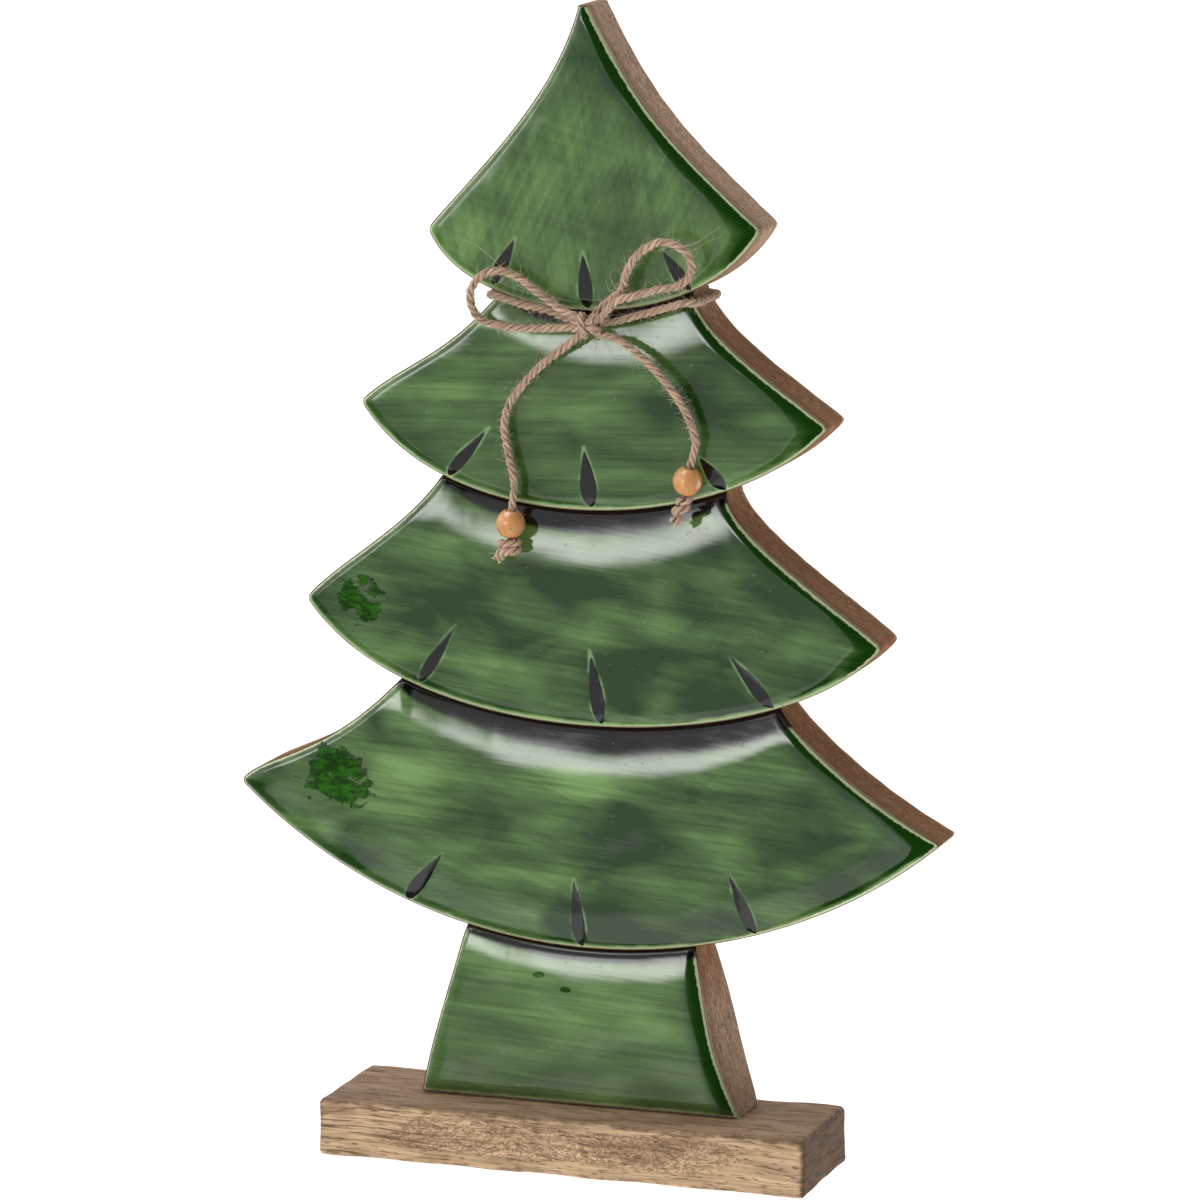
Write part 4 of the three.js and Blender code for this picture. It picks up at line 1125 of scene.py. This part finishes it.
def smooth_line(points, step=0.4):
    """A centripetal Catmull-Rom line through the points, in equal steps."""
    points = np.array(points, float)
    ends = [2 * points[0] - points[1], *points, 2 * points[-1] - points[-2]]
    line = []
    for a, b, c, d in zip(ends, ends[1:], ends[2:], ends[3:]):
        gaps = [max(np.linalg.norm(q - p) ** 0.5, 1e-6) for p, q in ((a, b), (b, c), (c, d))]
        in_way = ((b - a) / gaps[0] - (c - a) / (gaps[0] + gaps[1]) + (c - b) / gaps[1]) * gaps[1]
        out_way = ((c - b) / gaps[1] - (d - b) / (gaps[1] + gaps[2]) + (d - c) / gaps[2]) * gaps[1]
        t = np.linspace(0, 1, 24, endpoint=False)[:, None]
        line.append(
            (2 * t**3 - 3 * t**2 + 1) * b + (t**3 - 2 * t**2 + t) * in_way
            + (3 * t**2 - 2 * t**3) * c + (t**3 - t**2) * out_way
        )
    line = np.concatenate([*line, points[-1:]])
    total = length_along(line)[-1]
    return at_length(line, np.linspace(0, total, max(3, int(total / step))))


def knot_exit(direction):
    """A point under the knot's turn, and one just off the knot."""
    way = np.array(direction, float) / np.linalg.norm(direction)
    low, high = box_of("bow_knot")
    reach = 1 / np.linalg.norm(way / ((high - low) / 2))
    return [KNOT + way * at for at in (1.0, reach + CLEARANCE + 1.0)]


def from_knot(points):
    return [KNOT + np.array(p, float) for p in points]


def loop_line(side):
    return smooth_line(
        [*knot_exit(LEAVING["out"][side]), *from_knot(LOOPS[side]), *knot_exit(LEAVING["back"][side])[::-1]]
    )


def hang(side):
    """The bead's middle, and the way its twine runs up out of it."""
    up = np.array(HANG_UP[side], float)
    return middle_of(f"bead_{side}"), up / np.linalg.norm(up)


def tail_line(side):
    centre, up = hang(side)
    end = centre - up * (BEAD_HEIGHT / 2 + CLEARANCE)
    straight = [centre + up * (BEAD_HEIGHT / 2 + BEAD_TRAVEL + 1), centre + up * (BEAD_HEIGHT * 0.7), end]
    return smooth_line([*knot_exit(LEAVING["tail"][side]), *from_knot(TAILS[side]), *straight])


def wrap_line():
    clear = 1.4 + CLEARANCE
    front_y, back_y = RIM - SWELL - clear, BACK + clear
    corner, wrap = {}, {}
    for side, out in (("left", -1), ("right", 1)):
        x, z = NICK[side]
        front, back = [], []
        for degrees in (0, 30, 60, 90):
            over, round_it = WRAP_TURN * math.cos(math.radians(degrees)), WRAP_TURN * math.sin(math.radians(degrees))
            at = x + out * (over - WRAP_TURN)
            front.append((at, front_y + WRAP_TURN - round_it, z))
            back.append((at, back_y - WRAP_TURN + round_it, z))
        corner[side] = front[::-1] + back
        wrap[side] = [(KNOT[0] + across, front_y, KNOT[2] + up) for across, up in WRAP[side]]
    (left_x, left_z), (right_x, right_z) = NICK["left"], NICK["right"]
    behind = [(left_x + (right_x - left_x) * t, back_y, left_z + (right_z - left_z) * t) for t in (0.25, 0.5, 0.75)]
    return smooth_line([
        *knot_exit(LEAVING["wrap"]["left"]), *wrap["left"], *corner["left"], *behind, *corner["right"][::-1],
        *wrap["right"][::-1], *knot_exit(LEAVING["wrap"]["right"])[::-1],
    ])


def frames_along(line):
    """Directions along a line, with two directions square to each that don't twist."""
    along = np.gradient(line, axis=0)
    along /= np.linalg.norm(along, axis=1)[:, None]
    first = np.cross(along[0], (0, 0, 1) if abs(along[0][2]) < 0.9 else (1, 0, 0))
    sides = [first / np.linalg.norm(first)]
    for way in along[1:]:
        side = sides[-1] - way * (sides[-1] @ way)
        sides.append(side / np.linalg.norm(side))
    sides = np.array(sides)
    return along, sides, np.cross(along, sides)


def tube(line, radii, sides):
    """Rings round a line, closed at both ends, with how far along and around each point is."""
    _, first, second = frames_along(line)
    turn = np.linspace(0, 2 * math.pi, sides, endpoint=False)
    ring = first[:, None] * np.cos(turn)[None, :, None] + second[:, None] * np.sin(turn)[None, :, None]
    points = line[:, None] + ring * radii[..., None]
    rows = len(line)
    index = np.arange(rows * sides).reshape(rows, sides)
    faces = ring_faces(index) + [index[0][::-1].tolist(), index[-1].tolist()]
    along = np.repeat(length_along(line), sides)
    around = np.tile(turn, rows) * radii.mean()
    return points.reshape(-1, 3), faces, along, around


def twisted(line, settings, seed, diameter=None, splay=0.0):
    """Plies twisted round a line. With splay, they part towards its end."""
    diameter = diameter or settings.diameter / MM
    draw = np.random.default_rng(seed)
    ply_radius = diameter / 4.1
    away = diameter / 2 - ply_radius
    _, first, second = frames_along(line)
    along = length_along(line)
    opened = away * (1 + splay * (along / along[-1]) ** 3)
    parts = []
    for k in range(settings.plies):
        wobble = 0.16 * np.sin(along / 3.1 + draw.uniform(0, 6)) + 0.1 * np.sin(along / 1.3 + draw.uniform(0, 6))
        turn = -2 * math.pi * (along / (settings.pitch / MM) + k / settings.plies) + wobble
        centre = line + (first * np.cos(turn)[:, None] + second * np.sin(turn)[:, None]) * opened[:, None]
        sides = 9
        swell = 1 + 0.07 * np.sin(along / 2.3 + draw.uniform(0, 6)) + 0.05 * np.sin(along / 0.9 + draw.uniform(0, 6))
        lumps = 1 + 0.07 * draw.standard_normal((len(line), sides)).clip(-1.5, 1.5)
        p, f, a, r = tube(centre, ply_radius * swell[:, None] * lumps, sides)
        # how deep between the plies each point lies, which the twine's painted shade goes by
        spread = np.linalg.norm(p - np.repeat(line, sides, axis=0), axis=1)
        parts.append((p, f, {"along": a + 40 * k, "around": r + a * 0.35, "depth": spread / (diameter / 2)}))
    return joined(parts)


def joined(parts):
    """Several (points, faces), each with attributes or without, as one."""
    points, faces, start = [], [], 0
    for part in parts:
        points.append(part[0])
        faces += [[i + start for i in face] for face in part[1]]
        start += len(part[0])
    keys = parts[0][2] if len(parts[0]) > 2 else {}
    return np.concatenate(points), faces, {key: np.concatenate([part[2][key] for part in parts]) for key in keys}


def fibre(points, radius):
    """A thin three-sided hair that tapers to its end."""
    line = np.array(points, float)
    thin = radius * np.linspace(1, 0.35, len(line))
    return tube(line, np.repeat(thin[:, None], 3, axis=1), 3)[:2]


def fuzz(line, count, seed, reach=(1.2, 5.0), radius=0.062, core=1.2):
    """Loose hairs that stand off a strand, mostly swept along it."""
    draw = np.random.default_rng(seed)
    along, first, second = frames_along(line)
    hairs = []
    for _ in range(count):
        i = draw.integers(0, len(line))
        turn = draw.uniform(0, 2 * math.pi)
        out = first[i] * math.cos(turn) + second[i] * math.sin(turn)
        way = along[i] * draw.choice([-1, 1]) * draw.uniform(0.2, 1.1) + out * draw.uniform(0.5, 1.0)
        way /= np.linalg.norm(way)
        length = draw.uniform(*reach) * draw.uniform(0.4, 1.0)
        curl = draw.standard_normal(3) * 0.5 - out * draw.uniform(-0.1, 0.7)
        t = np.linspace(0, 1, 6)[:, None]
        hair = line[i] + out * core + way * t * length + curl * t**2 * length * 0.5
        hairs.append(fibre(hair, radius * draw.uniform(0.6, 1.2)))
    return joined(hairs)


def knot_turns(settings):
    """The middle of the bow: one turn drawn tight over the crossing strands, which bulge out on both its sides."""
    routes = [
        (2.6, [(-2.2, 1.6, 3.2), (-2.1, -1.1, 3.4), (-1.6, -2.7, 2.2), (-1.1, -3.2, 0.3), (-0.7, -2.9, -1.6),
               (-0.6, -1.5, -3.1), (-0.6, 0.8, -3.4)]),
        (3.3, [(-0.4, -1.0, 0.9), (1.2, -2.0, 0.3), (3.2, -2.0, -0.9), (5.2, -1.6, -2.2)]),
        (3.0, [(-0.2, -0.4, 1.4), (1.6, -1.2, 1.4), (3.2, -1.4, 2.7), (4.6, -1.2, 4.2)]),
        (3.1, [(-5.6, -0.8, 3.0), (-3.6, -0.9, 1.7), (-1.2, -0.6, 0.6), (1.5, 0.2, 0.2)]),
        (3.0, [(-5.6, -0.4, -1.0), (-3.4, -0.8, -0.7), (-1.2, -0.5, -0.4), (1.5, 0.4, -0.2)]),
    ]
    parts = []
    for n, (diameter, route) in enumerate(routes):
        parts.append(twisted(smooth_line(from_knot(route), step=0.3), settings, seed=60 + n, diameter=diameter))
    return joined(parts)


# From the underside of each bead
END_KNOTS = {
    "left": {
        "diameter": 3.0,
        "route": [
            (0, 0, 0.4), (1.8, 1.4, -0.9), (3.0, 0.1, -1.5), (1.3, -1.9, -1.6), (-1.5, -2.0, -1.9), (-2.8, 0.1, -2.4),
            (-1.2, 1.9, -3.0), (1.7, 1.8, -3.3), (3.0, 0.0, -3.9), (1.2, -2.0, -4.2), (-1.2, -1.8, -4.7),
            (-2.7, -0.6, -5.6), (-3.7, 0.0, -6.9), (-4.4, 0.1, -8.2),
        ],
        "splay": 0.7,
    },
    "right": {
        "diameter": 2.9,
        "route": [
            (0, 0, 0.4), (1.2, 0.9, -0.7), (1.5, -0.6, -1.5), (-0.1, -1.6, -2.0), (-1.6, -0.5, -2.3),
            (-1.1, 1.1, -2.8), (0.4, 1.0, -3.6), (0.5, -0.7, -4.4), (-1.1, -1.5, -5.0), (-2.7, -0.6, -5.6),
            (-2.9, 0.9, -6.4), (-1.9, 0.6, -7.6), (-2.6, -0.7, -8.8), (-3.9, -0.6, -9.6),
        ],
        "splay": 0.4,
    },
}


def end_knot_piece(side, settings, made):
    centre, up = hang(side)
    start = centre - up * (BEAD_HEIGHT / 2 + CLEARANCE)
    tie = END_KNOTS[side]
    line = smooth_line([start + np.array(p) for p in tie["route"]], 0.3)
    seed = 70 + SIDES.index(side)
    tied = twisted(line, settings, seed, tie["diameter"], tie["splay"])
    return add_piece(f"end_knot_{side}_tied", tied, made, f"end_knot_{side}"), line


# Long loose hairs, from the middle of the bow's knot, at the left and below it, and at the right loop
WHISKERS = {
    "left": [
        [(-30, -1.5, 18.5), (-34, -2.5, 22.5), (-38.5, -3, 25.8), (-43, -3.2, 27.8)],
        [(-0.2, -1, -3.8), (-0.7, -1.2, -7.2), (-0.9, -1.4, -9.8), (0.2, -1.4, -11.8), (1.9, -1.2, -12.3)],
        [(2, -1, -4), (4.4, -1.4, -7.8), (5.8, -1.4, -10.4), (6.9, -1.2, -12.0)],
        [(-1, -1, -3.6), (-2.6, -1.4, -6.4), (-2.2, -1.4, -9.2)],
    ],
    "right": [
        [(33, -5.5, 29.8), (38, -6.5, 29.6), (43, -7, 32.3), (49, -7, 36.5)],
        [(36, -5.5, 27.5), (40, -6.5, 28.4), (45, -7, 31.5), (50, -7, 33.5)],
        [(13, -3, 12.6), (10.4, -3.6, 14.8), (9.2, -3.6, 18.4), (11.2, -3.6, 20.6)],
        [(12, -3, 11.8), (8.8, -3.6, 13.2), (7.6, -3.6, 16.4)],
    ],
}


def whiskers(side):
    return [fibre(smooth_line(from_knot(route), 0.5), 0.08) for route in WHISKERS[side]]


def bead_piece(side, made):
    """A turned bead with a bored hole."""
    centre, up = hang(side)
    outer, half, bore = 5.0, BEAD_HEIGHT / 2, 1.9
    limit = math.acos((bore + 0.5) / outer)
    angles = np.linspace(-limit, limit, 25)
    profile = [(outer * math.cos(a), half * math.sin(a) / math.sin(limit)) for a in angles]
    profile += [(bore + 0.15, half - 0.05), (bore, half - 0.35), (bore, 0.35 - half), (bore + 0.15, 0.05 - half)]
    rings = turned_rings(profile, 48)
    index = np.arange(rings[..., 0].size).reshape(rings.shape[:2])
    faces = ring_faces(np.concatenate([index, index[:1]]))
    upright = np.array(Vector((0, 0, 1)).rotation_difference(Vector(up)).to_matrix())
    points = rings.reshape(-1, 3) @ upright.T + centre
    piece = add_piece(f"bead_{side}_turned", (points, faces), made, f"bead_{side}", f"bead_{side}")
    piece.data.set_sharp_from_angle(angle=math.radians(50))
    return piece


# Operators


class TREE_OT_enamel(bpy.types.Operator):
    """Coat the carved front with brushed green paint and clear gloss"""

    bl_idname = "tree.enamel"
    bl_label = "Enamel"

    strokes = {
        "top": [(-63, 42, 2.2, 1.0), (-100, 50, 2.0, 0.9), (20, 46, 2.4, 0.5)],
        "upper": [(-2, 60, 1.5, 1.0), (-10, 40, 2.6, 0.4)],
        "lower": [(6, 55, 1.5, 0.8), (17, 44, 2.6, 0.4)],
        "bottom": [(4, 55, 1.5, 0.8), (20, 44, 2.4, 0.4)],
        "trunk": [(3, 55, 1.6, 1.0), (12, 40, 2.8, 0.4)],
    }

    def execute(self, context):
        settings = context.scene.tree_enamel
        for patch in make_patches():
            strokes, shape = self.strokes[patch.name], patch.shape
            made = enamel_material(f"green_enamel_{patch.name}", settings, strokes, shape["wet"], shape["contrast"])
            enamel_piece(patch, settings, made)
        return {"FINISHED"}


class TREE_OT_board(bpy.types.Operator):
    """Saw the board to the outline of the tree"""

    bl_idname = "tree.board"
    bl_label = "Board"

    def execute(self, context):
        board_piece(make_patches(), board_material(context.scene.tree_wood))
        return {"FINISHED"}


class TREE_OT_plinth(bpy.types.Operator):
    """Make the plinth and finish its screws"""

    bl_idname = "tree.plinth"
    bl_label = "Plinth"

    def execute(self, context):
        settings = context.scene.tree_wood
        plinth_piece(settings, plinth_material(settings))
        steel = steel_material()
        for side in SIDES:
            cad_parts[f"plinth_screw_{side}"].data.materials[0] = steel
        return {"FINISHED"}


class TREE_OT_bow(bpy.types.Operator):
    """Tie the bow round the neck and hang its beads"""

    bl_idname = "tree.bow"
    bl_label = "Bow"

    def execute(self, context):
        settings = context.scene.tree_twine
        jute = twine_material(settings)
        hair = fibre_material("jute_fibres", (0.78, 0.64, 0.50))
        wood = bead_material(context.scene.tree_wood)

        def cord(name, line, seed):
            return add_piece(f"{name}_twisted", twisted(line, settings, seed), jute, name)

        def fibres(name, *hairs):
            return add_piece(name, joined(hairs), hair)

        wrap = wrap_line()
        cord("twine_wrap", wrap, seed=21)
        fibres("twine_wrap_fibres", fuzz(wrap, count=900, seed=31))
        knot = add_piece("bow_knot_turns", knot_turns(settings), jute, "bow_knot")

        for n, side in enumerate(SIDES):
            loop = loop_line(side)
            piece = cord(f"bow_loop_{side}", loop, seed=41 + n)
            loose = fuzz(loop, count=650, seed=51 + n)
            hairs = fibres(f"bow_loop_{side}_fibres", loose, *whiskers(side))
            self.declare(piece, loop, settings, "object", [hairs, knot] if side == "left" else [hairs])

            tail = tail_line(side)
            piece = cord(f"tail_{side}", tail, seed=43 + n)
            tied, stub = end_knot_piece(side, settings, jute)
            bead = bead_piece(side, wood)
            # the hairs lie close where the bead slides over them
            to_end = length_along(tail)[-1] - length_along(tail)
            slid_over = to_end < BEAD_HEIGHT + BEAD_TRAVEL + 3
            over_bead = tail[slid_over & (to_end > BEAD_HEIGHT)]
            loose = fuzz(tail[~slid_over], count=420, seed=53 + n)
            pressed = fuzz(over_bead, count=90, seed=57 + n, reach=(0.3, 0.9), core=0.85)
            hairs = fibres(f"tail_{side}_fibres", loose, pressed)
            frays = fuzz(stub[len(stub) // 3 :], count=260, seed=55 + n, reach=(0.8, 3.2), core=0.9)
            frayed = fibres(f"end_knot_{side}_frays", frays)
            self.declare(piece, tail, settings, "knot", [bead, tied, hairs, frayed])
        return {"FINISHED"}

    def declare(self, piece, line, settings, far_end, with_pieces):
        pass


class TREE_OT_stage(bpy.types.Operator):
    """Set the pale floor, the soft light and the camera"""

    bl_idname = "tree.stage"
    bl_label = "Stage"

    def execute(self, context):
        settings = context.scene.tree_stage
        self.floor()
        self.light(context.scene, settings)
        self.camera(context.scene, settings)
        return {"FINISHED"}

    def floor(self):
        half, low = 60.0, -0.0002
        mesh = bpy.data.meshes.new("floor")
        corners = [(-half, -half, low), (half, -half, low), (half, half, low), (-half, half, low)]
        mesh.from_pydata(corners, [], [(0, 1, 2, 3)])
        made, shader = material("pale_floor", Roughness=0.9)
        shader.set("Base Color", (0.3, 0.3, 0.3))
        shader.set("Emission Color", (1, 1, 1))
        shader.set("Emission Strength", 0.95)
        mesh.materials.append(made)
        floor = object_of("floor", mesh)
        floor.visible_glossy = False

    def light(self, scene, settings):
        """A large window high at the front left, a top light and a pale floor, with the front right dark."""
        world = bpy.data.worlds.new("studio")
        scene.world = world
        shader = Shader(world, end="ShaderNodeBackground", output="ShaderNodeOutputWorld", Strength=1.0)
        direction = shader.node("ShaderNodeTexCoord", output="Generated")
        x, y, z = shader.axes(direction)
        around = shader.node("ShaderNodeMath", {"operation": "ARCTAN2"}, {0: x, 1: 0 - y}) * (180 / math.pi)
        height = shader.node("ShaderNodeMath", {"operation": "ARCSINE"}, {0: z}) * (180 / math.pi)
        left = around.rises(-1, -7) * around.rises(-150, -100)
        behind = around.rises(85, 110) + around.rises(-110, -160)
        window = around.rises(-8, -15) * around.rises(-41, -29) * height.rises(-3, 6) * height.rises(21, 8)
        high = left * around.rises(-10, -30) * height.rises(44, 56)
        fill = left * around.rises(-34, -50) * height.rises(-5, 10)
        top = height.rises(45, 75)
        corner = around.rises(-25, -30) * height.rises(-9, -13)
        ground = left * height.rises(60, 40) * (1 - 0.9 * corner) * (1 + 0.9 * height.rises(-14.5, -16.5))
        strength = (
            0.02
            + window * settings.window
            + top * settings.top
            + high * settings.high
            + fill * settings.fill
            + ground * settings.pale_floor
            + behind * height.rises(45, 5) * settings.back
        )
        shader.set("Color", shader.vector(strength, strength, strength))
        scene.view_settings.view_transform = "Standard"
        scene.view_settings.look = "None"

    def camera(self, scene, settings):
        data = bpy.data.cameras.new("camera")
        data.lens, data.sensor_width = settings.lens, 36.0
        camera = object_of("camera", data)
        pitch, yaw = 10.79, 18.782
        camera.location = (0.6934, -2.0197, 0.6035)
        camera.rotation_euler = (math.radians(90 - pitch), 0, math.radians(yaw))
        scene.camera = camera


OPERATORS = (TREE_OT_stage, TREE_OT_bow, TREE_OT_enamel, TREE_OT_board, TREE_OT_plinth)


class TREE_PT_panel(bpy.types.Panel):
    """The steps that dress the tree"""

    bl_idname = "TREE_PT_panel"
    bl_label = "Carved Christmas Tree"
    bl_space_type = "VIEW_3D"
    bl_region_type = "UI"
    bl_category = "Tree"

    def draw(self, context):
        for name in SETTINGS:
            column = self.layout.box().column()
            settings = getattr(context.scene, name)
            for key in settings.__annotations__:
                column.prop(settings, key)
        for operator in OPERATORS:
            self.layout.operator(operator.bl_idname)


CLASSES = (*SETTINGS.values(), *OPERATORS, TREE_PT_panel)


def register():
    for made in CLASSES:
        bpy.utils.register_class(made)
    for name, made in SETTINGS.items():
        setattr(bpy.types.Scene, name, bpy.props.PointerProperty(type=made))


def unregister():
    for name in SETTINGS:
        delattr(bpy.types.Scene, name)
    for made in reversed(CLASSES):
        bpy.utils.unregister_class(made)


def main():
    register()
    bpy.ops.tree.stage()
    bpy.ops.tree.bow()
    bpy.ops.tree.enamel()
    bpy.ops.tree.board()
    bpy.ops.tree.plinth()


if __name__ == "__main__":
    main()
